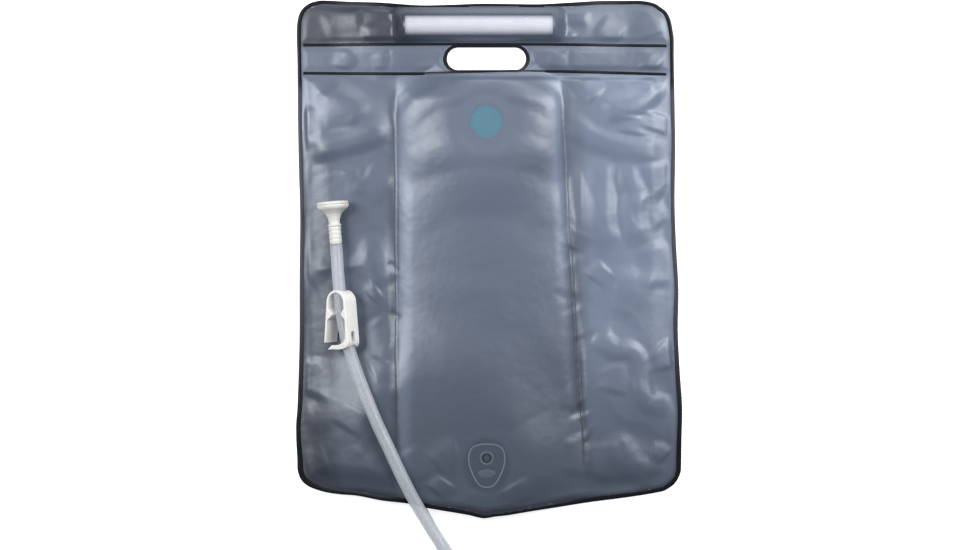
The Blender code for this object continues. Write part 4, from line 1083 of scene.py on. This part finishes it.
def dress(obj: Object, finish: Finish, body: str, *nodes: str) -> Object:
    """Gives a piece its finish, its body and the solids that it stands for.

    Args:
        obj: the piece.
        finish: how it looks.
        body: the body that it rides on.
        *nodes: the solids that it replaces.

    Returns:
        The same piece.
    """
    obj.data.materials.clear()
    obj.data.materials.append(finish.material())
    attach(obj, body)
    if nodes:
        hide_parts(*nodes)
    log.info("%s rides on %s", obj.name, body)
    return obj


def keep_node(name: str, finish: Finish) -> None:
    """Gives a solid that stays in view its finish.

    Args:
        name: the solid's node.
        finish: how it looks.
    """
    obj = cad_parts[name]
    for slot in obj.material_slots:
        slot.material = finish.material()
    log.info("%s keeps its own solid", name)


# The studio


@dataclass(frozen=True)
class SoftBox:
    """One soft light, turned towards the bag's middle."""

    name: str
    place: Triple
    size: Pair
    power: float

    def build(self) -> None:
        """Makes the light."""
        data = bpy.data.lights.new(self.name, "AREA")
        data.shape, data.energy = "RECTANGLE", self.power
        data.size, data.size_y = self.size
        light = bpy.data.objects.new(self.name, data)
        light.location = self.place
        x, y, z = self.place
        light.rotation_euler = (math.atan2(math.hypot(x, y), z), 0, math.atan2(y, x) + math.pi / 2)
        bpy.context.scene.collection.objects.link(light)


@dataclass
class Studio:
    """The plain white table, the soft light round it and the camera straight above."""

    camera_at: Triple = (-0.0006, -0.0161, 3.51)
    lens: float = 122.7
    boxes: tuple[SoftBox, ...] = (
        SoftBox("left_box", (-0.80, 0.27, 1.05), (0.45, 0.75), 13.0),
        SoftBox("right_box", (0.78, 0.42, 1.02), (0.50, 0.70), 13.4),
        SoftBox("top_box", (0.20, 0.95, 0.80), (0.8, 0.4), 4.5),
    )
    room: float = 0.20
    table_half: float = 6.0
    table_level: float = -0.0006
    table_glow: float = 0.80

    def build(self) -> None:
        """Makes the camera, the lights and the table."""
        scene = bpy.context.scene
        scene.view_settings.view_transform = "Standard"
        data = bpy.data.cameras.new("camera")
        data.lens, data.sensor_width, data.clip_start, data.clip_end = self.lens, 36, 0.1, 20
        camera = bpy.data.objects.new("camera", data)
        camera.location = self.camera_at
        scene.collection.objects.link(camera)
        scene.camera = camera
        self.light_room(scene)
        for box in self.boxes:
            box.build()
        self.add_table()

    def light_room(self, scene: bpy.types.Scene) -> None:
        """Fills the room with a little even light, and shows it white to the camera.

        Args:
            scene: the scene that gets the room.
        """
        scene.world = bpy.data.worlds.new("room")
        tree = fresh_tree(scene.world)
        seen = add(tree, "LightPath").outputs["Is Camera Ray"]
        glow = add(tree, "Background", {"Color": (1, 1, 1, 1),
                                        "Strength": spread(tree, seen, self.room, 1.0)})
        add(tree, "OutputWorld", {"Surface": glow.outputs["Background"]})

    def add_table(self) -> None:
        """Adds the white table, which glows a little so that only shadows show on it."""
        span = np.linspace(-self.table_half, self.table_half, 9)
        x, y = np.meshgrid(span, span)
        table = surface("table", np.dstack([x, y, np.full(x.shape, self.table_level)]))
        material = bpy.data.materials.new("table")
        tree = fresh_tree(material)
        paths = add(tree, "LightPath").outputs
        seen = add(tree, "Math", {0: paths["Is Camera Ray"], 1: paths["Is Transmission Ray"]},
                   operation="MAXIMUM").outputs["Value"]
        place = add(tree, "TexCoord").outputs["Object"]
        grain = add(tree, "TexNoise", {"Vector": place, "Scale": 900.0}).outputs["Fac"]
        shader = add(tree, "BsdfPrincipled", {
            "Base Color": (0.8, 0.8, 0.8, 1), "Roughness": 0.8, "Emission Color": (1, 1, 1, 1),
            "Normal": add(tree, "Bump", {"Height": grain, "Distance": 0.00002}).outputs["Normal"],
            "Emission Strength": spread(tree, seen, 0.0, self.table_glow)})
        add(tree, "OutputMaterial", {"Surface": shader.outputs["BSDF"]})
        table.data.materials.append(material)


# The hose


@dataclass
class Hose:
    """The clear hose, from the elbow under the bag, round its loop and up to the shower head."""

    length: float = 1.04
    stations: int = 480
    sides: int = 20

    def path(self) -> Array:
        """The hose's middle line from the elbow to the head."""
        return even(through(np.array(HOSE_ROUTE), 20), self.stations)[::-1]

    def build(self) -> Object:
        """Makes the hose, with its inside wall.

        Each ring is the path's point plus the radius times cos a of the flat sideways
        direction and sin a of the direction square to it and to the path.

        Returns:
            The piece.
        """
        path = self.path()
        ahead = np.gradient(path, axis=0)
        ahead /= np.linalg.norm(ahead, axis=1, keepdims=True)
        side = np.cross(ahead, [0, 0, 1])
        side /= np.linalg.norm(side, axis=1, keepdims=True)
        top = np.cross(side, ahead)
        angle = np.linspace(0, 2 * math.pi, self.sides, endpoint=False)[None, :, None]
        ring = side[:, None] * np.cos(angle) + top[:, None] * np.sin(angle)
        outer, inner = path[:, None] + HOSE_RADIUS * ring, path[:, None] + HOSE_BORE * ring
        walls = surface("hose_tube", np.concatenate([outer, inner[::-1]]), True, True)
        return dress(closed_up(walls, 60), CLEAR_HOSE, ROOT, "hose")

    def declare(self, obj: Object, *on_it: Object) -> None:
        """Args:
            obj: the hose; not used.
            *on_it: the pieces that lie with it; not used.
        """
        path = self.path()


# The films and the welds


@dataclass
class Films:
    """The clear front film with its folds, and the black back film on the table.

    Two sheets of one outline, cut from rolls of film and lying as the photo shows them.
    over_bag is the y and the level past which the hose lies on the bag. From base on, the
    fields tell how far the frosted film is darkened: partly where it lies on the black one,
    partly painted shade and painted highlight. closer has amounts with the steps in plan that
    bound their places, a bevel's painted highlight its amount, distance from the fold and
    width, the painted shade ring round the filler its amount, radius and width, and
    edge_contact_and_shade its amount, start and reach.
    clearings are for the tube, the plug and the flange, and a touch has where each one's
    clearing starts to fade and its reach.
    """

    front_pitch: float = 0.00155
    back_pitch: float = 0.0030
    margin: float = 0.0020
    slot_margin: float = 0.0008
    filler_hole: float = 0.0188
    over_bag: Pair = (-0.262, 0.018)
    weld_fall: float = 0.0070
    fitting_reach: float = 0.0300
    fitting_fall: float = 0.0120
    calm_fall: float = 0.0200
    over_lift: float = 0.75
    pillow_calm: float = 0.90
    sleeve_calm: float = 0.55
    panel_calm: float = 0.65
    least: float = 1.0 * MM
    blunt: float = 0.6 * MM
    press: float = 0.0300
    base: float = 0.44
    painted_light_steps: tuple[tuple[Any, ...], ...] = (
        (0.30, (Y, 0.02, -0.26)),
        (-0.50, (X, 0.088, 0.025), (Y, -0.30, 0.30)),
        (-0.11, (Y, 0.03, 0.10)),
        (0.06, (X, -0.095, -0.020)),
        (0.20, (X, -0.150, -0.025), (Y, 0.16, -0.06)),
    )
    left_bevel_highlight: Triple = (-0.26, 0.0085, 0.0075)
    right_bevel_highlight: Triple = (-0.50, 0.0070, 0.0085)
    filler_ring_shade: Triple = (0.24, 0.0620, 0.0170)
    strip_contact_and_shade: float = 0.40
    sleeve_painted_shade: Pair = (0.02, 0.66)
    fold_contact_and_shadow: float = 0.38
    fold_wide: Pair = (0.0110, 0.0045)
    edge_contact_and_shade: Triple = (0.42, 0.0044, 0.0045)
    clearings: Triple = (0.84, 0.52, 0.50)
    tube_touch: Triple = (0.55, 0.95, 0.003)
    plug_touch: Pair = (0.0165, 0.0025)
    flange_oval: Triple = (0.0250, 0.0300, 0.0080)
    flange_touch: Pair = (0.85, 0.30)
    touch_lightens: float = 0.6

    def freedom(self, plan: BagPlan) -> tuple[Array, Array]:
        """Works out where the film can lie loose.

        Args:
            plan: the grid.

        Returns:
            How free it is of the welds, and of them and what lies on or under it, 0 to 1.
        """
        x, y = plan.x, plan.y
        lines = np.minimum(np.abs(y - SLEEVE_LINE), np.abs(y - CHAMBER_LINE)) - LINE_HALF
        weld = np.minimum(np.minimum(plan.inside - EDGE_WIDTH, lines), plan.slot - SLOT_RING)
        free = smooth_step(weld / self.weld_fall)
        head = from_segment(x, y, HEAD_FACE, HOSE_ROUTE[0]) - HEAD_RADIUS
        clamp = from_segment(x, y, CLAMP_TOP, CLAMP_FOOT) - CLAMP_REACH
        rest = smooth_step(np.minimum(head, clamp) / self.calm_fall)
        fittings = np.minimum(from_point(x, y, FILLER_AT), from_point(x, y, OUTLET_AT, 0.0040))
        calm = smooth_step((fittings - self.fitting_reach) / self.fitting_fall + 0.4)
        return free, free * rest * calm

    def front_height(self, plan: BagPlan, hose: Array) -> Array:
        """Works out the front film.

        It is the lift, the two films, the air under it, the tube's bulge and the folds, held a
        little above the back film by a smooth maximum and pressed down under the hose.

        Args:
            plan: the grid.
            hose: the hose's middle line.

        Returns:
            The height.
        """
        x, y = plan.x, plan.y
        free, loose = self.freedom(plan)
        tube, level = over_tube(x, y), lift(x, y)
        pillow, swell, on_pillow = air(x, y)
        inwards = smooth_step((plan.inside - EDGE_WIDTH) / self.calm_fall)
        raised = pillow * (1 - self.over_lift * level / FILLER_LIFT) + swell
        height = level + TWO_FILMS + PARTING * free + raised * inwards + SLEEVE_RISE * tube
        above, low_left = (Y, CHAMBER_LINE, 0.004), ((X, -0.12, -0.04), (Y, -0.02, -0.08))
        calm = (1 - self.pillow_calm * on_pillow) * (1 - self.sleeve_calm * within(x, y, above))
        calm *= 1 - self.panel_calm * within(x, y, *low_left)
        uneven = fold_height(x, y) + calm * (rumple(x, y) + 0.5 * MM)
        spare = height + uneven * loose * (1 - tube) - level - self.least
        height = level + self.least + 0.5 * (spare + np.hypot(spare, self.blunt))
        low_end, low_level = self.over_bag
        over = hose[(hose[:, 1] > low_end) & (hose[:, 2] > low_level)]
        away, _, share = distance_to(over, x, y)
        ceiling = np.interp(share, np.linspace(0, 1, len(over)), over[:, 2]) - HOSE_RADIUS - GAP
        pressed = np.maximum(ceiling + away**2 / self.press, level + TWO_FILMS)
        return np.where(away < self.press, np.minimum(height, pressed), height)

    def contact_and_painted_light(self, x: Array, y: Array) -> Array:
        """How far the frosted film is darkened, from 0 to 1: partly where it lies on the black one,
        partly painted shade and painted highlight.

        It is lowest over the right panel's upper half and on the pillow's two bevels, which are
        painted highlights, higher towards the outlet end, a painted shade for the lights' falloff,
        and highest in the two long folds and beside the welds, partly painted shadow.

        Args:
            x: the places' x.
            y: the places' y.

        Returns:
            The darkening.
        """
        near = np.full(x.shape, self.base)
        # Painted light and shade: darker towards the outlet end and over the left panel, lighter at the
        # top and over the right panel's upper half.
        for amount, *bounds in self.painted_light_steps:
            near += amount * within(x, y, *bounds)
        # Painted highlights: less darkening along the pillow's two bevels, where the side lights' sheen
        # would lie.
        amount, inwards, width = self.left_bevel_highlight
        near += amount * bell(x - PILLOW_LEFT - inwards, width)
        amount, inwards, width = self.right_bevel_highlight
        near += amount * bell(x - pillow_right(y) + inwards, width) * within(x, y, (Y, -0.06, 0.12))
        # Painted shade: more darkening in a ring left and right of the filler, over the mound's sheen.
        amount, radius, width = self.filler_ring_shade
        away = from_point(x, y, FILLER_AT, 0.0100)
        near += amount * bell(away - radius, width) * ((x - FILLER_AT[0]) / away) ** 2
        # Above the chamber line the darkening is set anew: partly the film on the black one, partly
        # painted shade, heavier on the sleeve's left.
        above, sleeve = within(x, y, (Y, CHAMBER_LINE, 0.004)), within(x, y, (Y, 0.222, 0.006))
        all_along, left = self.sleeve_painted_shade
        top = self.strip_contact_and_shade + sleeve * (all_along + left * within(x, y, (X, -0.02, -0.10)))
        near = np.maximum(near, 0) * (1 - above) + above * top
        # Darker along the two long folds: partly the films touching, partly painted shadow.
        for row, out in zip(FOLDS[:2], (1, -1)):
            away, side, share = distance_to(fold_line(row), x, y)
            width = np.where(side * out < 0, *self.fold_wide)
            near += self.fold_contact_and_shadow * (1 - smooth_step(away / width)) * tapered(share, 0.1)
        return near

    def touching(self, x: Array, y: Array) -> Array:
        """How closely the film lies on the tube, the plug and the flange, which clears it.

        Args:
            x: the places' x.
            y: the places' y.

        Returns:
            How clear it is, from 0 to 1.
        """
        across = np.abs(y - TUBE_AT[1]) / TUBE_RADIUS
        start, reach, end_reach = self.tube_touch
        past = (np.abs(x - TUBE_AT[0]) - TUBE_HALF) / end_reach
        tube = (1 - smooth_step((across - start) / reach)) * (1 - smooth_step(past + 0.5))
        start, reach = self.plug_touch
        plug = 1 - smooth_step((from_point(x, y, FILLER_AT) - start) / reach)
        half_wide, half_long, down = self.flange_oval
        oval = np.hypot((x - OUTLET_AT[0]) / half_wide, (y - OUTLET_AT[1] + down) / half_long)
        start, reach = self.flange_touch
        flange = 1 - smooth_step((oval - start) / reach)
        return np.max([value * part for value, part in zip(self.clearings, (tube, plug, flange))], axis=0)

    def build(self, hose: Array) -> None:
        """Makes both films.

        Args:
            hose: the hose's middle line.
        """
        plan = BagPlan(self.front_pitch)
        points = np.dstack([plan.x, plan.y, self.front_height(plan, hose)])
        front = surface("front_film", points, keep=plan.faces(self.margin, 2 * self.slot_margin))
        x, y = plan_of(front)
        touch = self.touching(x, y)
        mark(front, "clear", touch)
        # Darker beside the welds, more so towards the outlet end: partly the film drawn onto the black
        # one, partly painted shade.
        amount, start, reach = self.edge_contact_and_shade
        drawn = amount * (1 - smooth_step((plan.pick(plan.inside, x, y) - start) / reach))
        drawn *= 0.3 + 0.7 * within(x, y, (Y, 0.05, -0.20))
        # The darkening mark: partly the film lying on the black one, partly painted shade and painted
        # highlight.
        mark(front, "contact_and_shade", (self.contact_and_painted_light(x, y) + drawn) * (1 - self.touch_lightens * touch))
        dress(front, FROSTED, ROOT, "front_panel")

        plan = BagPlan(self.back_pitch)
        under = lift(plan.x, plan.y) * (1 - over_tube(plan.x, plan.y)) + 0.15 * MM
        holes = ((*FILLER_AT, self.filler_hole), (*OUTLET_AT, OUTLET_BORE))
        keep = plan.faces(self.margin, self.slot_margin, *holes)
        back = surface("back_film", np.dstack([plan.x, plan.y, under]), keep=keep)
        wall = back.modifiers.new("wall", "SOLIDIFY")
        wall.thickness, wall.offset = 0.35 * MM, 1.0
        dress(back, BLACK, ROOT, "back_panel")


@dataclass
class Welds:
    """The fused band round the bag, the ring round the slot and the two straight lines.

    edge_width is the band's width with what it gains towards the low edge and at the lower
    left corner, ring_width the ring's with what it gains at the slot's ends, and lip_out how far
    past the ring the clear lip starts, all in millimetres. section is the band's, as shares of
    its width and thickness, and bead that of the clear film squeezed out along the slot's ring,
    in millimetres; that bead is pale partly as a painted highlight. hazy bounds the band's long
    sides, fading towards the outlet end, where a lighter colour is painted on as a sheen.
    """

    thickness: float = 0.0020
    edge_width: Triple = (4.3, 0.6, 2.4)
    corner_at: Pair = (-0.185, -0.238)
    corner_reach: float = 0.035
    ring_width: Pair = (3.0, 1.2)
    lip_out: float = 0.2
    section: tuple[Pair, ...] = (
        (0, 0.30), (0.02, 0.72), (0.09, 0.92), (0.22, 0.99), (0.50, 1.0), (0.78, 0.99),
        (0.94, 0.92), (1.0, 0.72), (1.0, 0.12), (0.9, 0.02), (0.1, 0.02))
    bead: tuple[Pair, ...] = (
        (0.0, 0.9), (0.12, 1.5), (0.35, 1.75), (0.58, 1.5), (0.70, 0.9), (0.58, 0.5), (0.12, 0.5))
    painted_sheen_sides: tuple[Step, ...] = (
        (Y, -0.200, 0.200), (Y, 0.188, -0.015), (X, 0.170, 0.015))

    def band(self, name: str, path: Array, width: Array, node: str, closed: bool = True) -> Object:
        """Carries the section along a path in plan.

        Args:
            name: the piece's name.
            path: points in plan.
            width: how far the band reaches to the path's right, at each point.
            node: the solid that it stands for.
            closed: whether the path joins its own start.

        Returns:
            The piece.
        """
        across, up = np.array(self.section).T
        obj = swept(name, lifted(path), width[:, None] * across, self.thickness * up, closed)
        return dress(obj, FUSED, ROOT, node)

    def build(self) -> None:
        """Makes the welds."""
        path = outline_path(1100)
        x, y = path.T
        corner = bell(from_point(x, y, self.corner_at), self.corner_reach)
        uneven = 0.25 * np.sin(x * 61 + 1) + 0.2 * np.sin(y * 83)
        width, low_more, corner_more = self.edge_width
        width = (width + low_more * within(x, y, (Y, 0.10, -0.30)) + corner_more * corner + uneven) * MM
        edge = self.band("edge_band", path, width, "edge_weld")
        x, y = plan_of(edge)
        # Painted sheen: the band's long sides get a lighter colour.
        mark(edge, "painted_light", within(np.abs(x), y, *self.painted_sheen_sides))
        ring = slot_path(240)
        end = np.clip((np.abs(ring[:, 0] - SLOT_AT[0]) - 0.0300) / 0.0115, 0, 1)
        wide, end_more = self.ring_width
        self.band("slot_ring", ring, (wide + end_more * end) * MM, "slot_weld")
        # The clear lip round the slot is pale partly as a painted highlight.
        across, up = np.array(self.bead).T * MM
        out = (wide + self.lip_out + end_more * end) * MM
        lip = swept("slot_lip", lifted(ring), out[:, None] + across, up)
        dress(lip, PALE_SHEEN, ROOT)
        for name, rows, node in (
            ("sleeve_line", (225.9, 226.7, 225.2), "sleeve_weld"),
            ("chamber_line", (196.3, 195.7, 198.2, 195.3), "chamber_weld"),
        ):
            at = np.linspace(-196, 186, len(rows))
            line = even(through(np.column_stack([at, rows]) * MM, 40), 300)
            line[:, 1] += LINE_HALF
            self.band(name, line, np.full(len(line), 2 * LINE_HALF), node, closed=False)


# The grip tube and the fittings


@dataclass
class GripTube:
    """The rigid white tube in the top sleeve, open at both ends."""

    wall: float = 0.0015
    level: float = 0.0008
    rim: float = 0.3 * MM

    def build(self) -> None:
        """Makes the tube, with its sawn rims slightly rounded."""
        inner = TUBE_RADIUS - self.wall
        corners = [(inner, -TUBE_HALF), (TUBE_RADIUS, -TUBE_HALF),
                   (TUBE_RADIUS, TUBE_HALF), (inner, TUBE_HALF)]
        place = axes_at((*TUBE_AT, self.level + TUBE_RADIUS), (0, 1, 0), (0, 0, 1), (1, 0, 0))
        tube = turned("sleeve_tube", softened(corners, self.rim), place)
        dress(tube, TUBE_WHITE, ROOT, "grip_tube")


@dataclass
class Filler:
    """The neck under the bag, its seal and the teal screw plug, whose crown shows through."""

    finishes: tuple[tuple[str, Finish], ...] = (
        ("filler_neck", DARK), ("filler_gasket", RUBBER), ("filler_cap", TEAL))

    def build(self) -> None:
        """Gives each moulded solid its finish."""
        for name, finish in self.finishes:
            keep_node(name, finish)


@dataclass
class Outlet:
    """The shield-shaped flange inside the bag, with its raised bead, round boss and oval pad.

    half is the right half of its outline about the boss, and the others are sections, all in
    millimetres.
    """

    level: float = HOSE_LIFT + 0.0008
    thickness: float = 0.0014
    pad_down: float = 0.0162
    pad_flat: float = 0.47
    half: tuple[Pair, ...] = (
        (0.0, 15.3), (9.0, 14.6), (15.2, 11.8), (18.8, 6.2), (19.7, -1.5), (18.2, -10.5),
        (14.2, -20.0), (9.8, -27.2), (5.4, -30.6), (0.0, -31.4))
    bead: tuple[Pair, ...] = (
        (0.1, 0.4), (0.3, 0.8), (0.8, 0.95), (1.3, 0.8), (1.5, 0.4), (1.5, 0.0), (0.1, 0.0))
    boss: tuple[Pair, ...] = ((5.2, -0.1), (7.7, -0.1), (7.7, 1.7), (5.2, 2.2))
    pad: tuple[Pair, ...] = (
        (0, -0.05), (9.2, -0.05), (9.2, 0.35), (7.2, 0.8), (3.6, 1.0), (0, 1.05))

    def shield(self) -> Array:
        """Draws the flange's outline.

        Returns:
            The even closed line about the boss, clockwise.
        """
        right = np.array(self.half) * MM
        left = right[-2:0:-1] * [-1, 1]
        return even_loop(through(np.vstack([right, left]), 8, closed=True), 120)

    def build(self) -> None:
        """Makes the flange and what is raised on it."""
        line = self.shield()
        at = np.eye(4)
        at[:2, 3] = OUTLET_AT
        top = self.level + self.thickness
        plate = slab("outlet_plate", line, self.level, top, 0.3 * MM, at)
        hole = round_pin("outlet_pin", OUTLET_BORE, self.level - 0.002, self.level + 0.006, at)
        dress(cut(plate, hole), SMOKE, ROOT, "outlet_flange")
        path = np.column_stack([line + OUTLET_AT, np.full(len(line), top - 0.1 * MM)])
        # The flange's raised bead shows pale, partly as a painted highlight.
        dress(swept("outlet_bead", path, *(np.array(self.bead).T * MM)), PALE_SHEEN, ROOT)
        ring = softened(np.array(self.boss) * MM + [0, top], 0.7 * MM, 5)
        dress(turned("outlet_boss", ring, at), PALE_SMOKE, ROOT)
        oval = at @ np.diag([1.0, self.pad_flat, 1.0, 1.0])
        oval[1, 3] -= self.pad_down
        oval[2, 3] = top
        dress(turned("outlet_pad", np.array(self.pad) * MM, oval), PALE_SMOKE, ROOT)
        keep_node("outlet_elbow", DARK)
        keep_node("outlet_seal", RUBBER)


# The shower head and the clamp


@dataclass
class ShowerHead:
    """The white mushroom-shaped head lying on its side: rose plate, body and barbed stem.

    The sections are (share of the radius or radius, distance from the face), in millimetres
    but for the shares. barb has a barb's foot radius and its tip radius.
    """

    barbs: int = 4
    barb: Pair = (6.7, 6.1)
    bore_radius: float = 4.0
    jet_radius: float = 0.7
    stem_top: float = 28.0
    cap: tuple[Pair, ...] = (
        (0.985, 3.9), (1, 4.3), (1, 6.2), (0.93, 8.2), (0.71, 10.7), (0.52, 13.6), (0.42, 16.9))
    neck: tuple[Pair, ...] = ((5.9, 21.4), (5.9, 24.7), (7.3, 25.1), (7.3, 26.3), (6.1, 27.2))
    bore: tuple[Pair, ...] = ((4.0, 16.9), (9.1, 9.0), (14.8, 6.2), (14.8, 4.1))
    face: tuple[Pair, ...] = (
        (0, 0.3), (0.56, 0.35), (0.93, 1.0), (1, 2.1), (1, 3.4), (0.985, 3.8))
    socket: tuple[Pair, ...] = ((13.0, 3.8), (13.0, 5.8), (11.2, 5.8), (11.2, 3.5), (0, 3.5))
    jets: tuple[tuple[float, int], ...] = ((0.0, 1), (5.0, 6), (9.6, 12))

    def place(self) -> Array:
        """Its own axes: Z from the rose down the stem, Y up."""
        along = facing(math.radians(HEAD_HEADING))
        return axes_at((*HEAD_FACE, HEAD_LEVEL), np.cross([0, 0, 1], along), (0, 0, 1), along)

    def build(self) -> list[Object]:
        """Makes the body and the rose plate.

        Returns:
            The pieces on the hose's end.
        """
        wide, end, place = [HEAD_RADIUS / MM, 1], HEAD_LENGTH / MM, self.place()
        pitch = (end - self.stem_top) / self.barbs
        foot = self.stem_top + pitch * np.arange(self.barbs)
        barbs = np.dstack([np.broadcast_to(self.barb, (self.barbs, 2)),
                           foot[:, None] + pitch * np.array([0.15, 0.95])]).reshape(-1, 2)
        section = np.vstack([np.array(self.cap) * wide, self.neck, barbs,
                             [(self.barb[1], end), (self.bore_radius, end)], self.bore])
        shell = turned("head_shell", softened(section * MM, 0.9 * MM, 5), place)
        body = dress(shell, HEAD_WHITE_SHADED, ROOT, "head_body")
        section = np.vstack([np.array(self.face) * wide, self.socket])
        rose = turned("rose", softened(section * MM, 0.5 * MM, 4, closed=False), place)
        pins = []
        for ring, count in self.jets:
            for k in range(count):
                hole = place.copy()
                hole[:3, 3] += place[:3, :2] @ (ring * MM * facing(2 * math.pi * k / count)[:2])
                pins.append(round_pin(f"jet_{ring}_{k}", self.jet_radius * MM, -0.002, 0.008, hole))
        dress(cut(rose, *pins), HEAD_WHITE_SHADED, ROOT, "rose_plate")
        keep_node("rose_seal", RUBBER)
        return [body, rose]


@dataclass
class PinchClamp:
    """The white squeeze clamp: one strip bent over the hose, whose free arm snaps into a hook.

    apart is how far the hook arm's and the free arm's inner walls are from the middle at the
    foot, claw the hook arm's foot with its lip, in millimetres across and along, and window_cut
    the window's distance from the foot, its half run and its half width.
    """

    length: float = 0.0605
    width: float = 0.0180
    strip: float = 0.0030
    wall: float = 0.0024
    bend: float = 0.0100
    foot: float = 0.0150
    apart: Pair = (0.0130, 0.0160)
    nub_down: float = 0.0250
    nub_half: float = 0.0060
    nub_gap: float = 0.25 * MM
    hinge: float = -0.0017
    hose_across: float = 0.0002
    free_short: float = 0.0062
    rim: float = 0.45 * MM
    window_cut: Triple = (0.0112, 0.0034, 0.0030)
    foot_hole: Pair = (0.0072, 0.0010)
    claw: tuple[Pair, ...] = (
        (15.5, 52.5), (15.4, 55.6), (14.0, 58.6), (11.2, 60.4), (7.0, 61.4), (3.8, 61.8),
        (-3.0, 61.7), (-8.0, 61.5), (-12.9, 61.9), (-13.0, 61.0), (-10.0, 59.2), (-8.0, 57.4),
        (-7.0, 57.2), (-5.8, 58.0), (0.0, 57.3), (5.3, 56.2), (9.4, 53.8), (11.8, 50.0))

    def place(self) -> Array:
        """Its own axes, raised until the clamp's lowest corner clears the film.

        Returns:
            The matrix: X across the arms, Y towards the foot, Z along the strip's width.
        """
        along, roll = facing(math.radians(CLAMP_HEADING)), math.radians(CLAMP_ROLL)
        right = np.array([-along[1], along[0], 0])
        across = right * math.cos(roll) + np.array([0, 0, math.sin(roll)])
        low = (self.foot + self.strip) * math.sin(roll) + self.width / 2 * math.cos(roll)
        level = TWO_FILMS + PARTING + SIDE_RISE + GAP + low
        return axes_at((*CLAMP_TOP, level), across, along, np.cross(across, along))

    def arm(self, side: int, foot: float) -> tuple[Array, Array]:
        """One side of the strip's section, outer and inner line from the bend to the foot.

        The inner line has the nub, which rises from the wall to the hose by (1 - |t| ^ 1.6) ^ 1.3
        over its own length, t from -1 to 1.

        Args:
            side: 1 for the hook arm, -1 for the free one.
            foot: how far down it ends.

        Returns:
            The outer line and the inner one.
        """
        outside, bore = self.bend + self.strip, self.bend + self.strip - self.wall
        angle = np.linspace(math.pi / 2, 0, 17)
        arc = np.column_stack([side * np.cos(angle), -np.sin(angle)])
        outer, inner = arc * outside + [0, outside], arc * bore + [0, outside]
        widen = (self.apart[side < 0] - self.bend) / (self.length - outside)
        tip = HOSE_RADIUS + self.nub_gap + self.hose_across * side
        reach = np.linspace(-1, 1, 17)
        down = self.nub_down + reach * self.nub_half
        wall = bore + widen * (down - outside)
        nub = np.column_stack([side * (wall + (tip - wall) * (1 - np.abs(reach) ** 1.6) ** 1.3), down])
        end = bore + widen * (foot - outside)
        outer = np.vstack([outer, [side * (end + self.wall), foot]])
        return outer, np.vstack([inner, nub, [side * end, foot]])

    def pin(self, name: str, across: float, up: float, low: float, high: float) -> Object:
        """A round cutter along the arms, for a hole that the hose runs through.

        Args:
            name: the cutter's name.
            across: its place across the arms.
            up: its place along the strip's width.
            low: where it starts along the arms.
            high: where it ends.

        Returns:
            The cutter.
        """
        place = self.place()
        down = place @ np.array([[1, 0, 0, 0], [0, 0, 1, 0], [0, -1, 0, 0], [0, 0, 0, 1.0]])
        down[:3, 3] += place[:3, 0] * across + place[:3, 2] * up
        return round_pin(name, HOSE_RADIUS + 1.0 * MM, low, high, down)

    def window(self) -> Object:
        """Makes the cutter for the side window, a slot with half-round ends.

        Returns:
            The cutter.
        """
        up, run, half = self.window_cut
        turn = np.array([[0, 0, 1, 0], [1, 0, 0, self.length - up], [0, 1, 0, 0], [0, 0, 0, 1.0]])
        angle = np.linspace(-math.pi / 2, math.pi / 2, 12)
        ends = np.column_stack([run + half * np.cos(angle), half * np.sin(angle)])
        return slab("window_pin", np.vstack([ends, -ends]), 0, 0.022, 0.05 * MM, self.place() @ turn)

    def build(self) -> list[Object]:
        """Makes both arms.

        Returns:
            The pieces on the hose.
        """
        place, half = self.place(), self.width / 2
        outer, inner = self.arm(1, self.length)
        start = self.hinge + self.strip / 2 + GAP
        outer = np.vstack([[start, outer[0, 1]], outer[outer[:, 0] > start]])
        inner = np.vstack([[start, inner[0, 1]], inner[inner[:, 0] > start]])
        outline = softened(np.vstack([outer[:-1], np.array(self.claw) * MM, inner[:-1][::-1]]), 0.8 * MM)
        hook = slab("clamp_hook", outline, -half, half, self.rim, place)
        foot = self.length - self.strip
        cutters = (self.pin("top_pin", self.hinge, 0, -0.004, self.bend),
                   self.pin("foot_pin", *self.foot_hole, foot - 0.002, foot + 0.007), self.window())
        hook = dress(cut(hook, *cutters), WHITE, ROOT, "clamp_hook_arm")
        outer, inner = self.arm(-1, self.length - self.free_short)
        angle = np.linspace(math.pi / 2, -math.pi / 2, 9)
        knuckle = np.column_stack([self.hinge + self.strip / 2 * np.cos(angle),
                                   self.strip / 2 * (1 - np.sin(angle))])
        outer, inner = (line[line[:, 0] < self.hinge - 1e-5] for line in (outer, inner))
        outline = softened(np.vstack([knuckle, inner, outer[::-1]]), 0.5 * MM, 3)
        free = slab("clamp_arm_free", outline, -half, half, self.rim, place)
        free = cut(free, self.pin("top_pin", self.hinge, 0, -0.004, self.bend))
        return [hook, dress(free, WHITE, "clamp_arm", "clamp_free_arm")]


def main() -> None:
    """Builds the room, then the bag piece by piece."""
    logging.basicConfig(level=logging.INFO, format="%(message)s")
    Studio().build()
    hose = Hose()
    tube = hose.build()
    head = ShowerHead().build()
    clamp = PinchClamp().build()
    hose.declare(tube, *head, *clamp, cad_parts["rose_seal"])
    Films().build(hose.path())
    Welds().build()
    GripTube().build()
    Filler().build()
    Outlet().build()


if __name__ == "__main__":
    main()
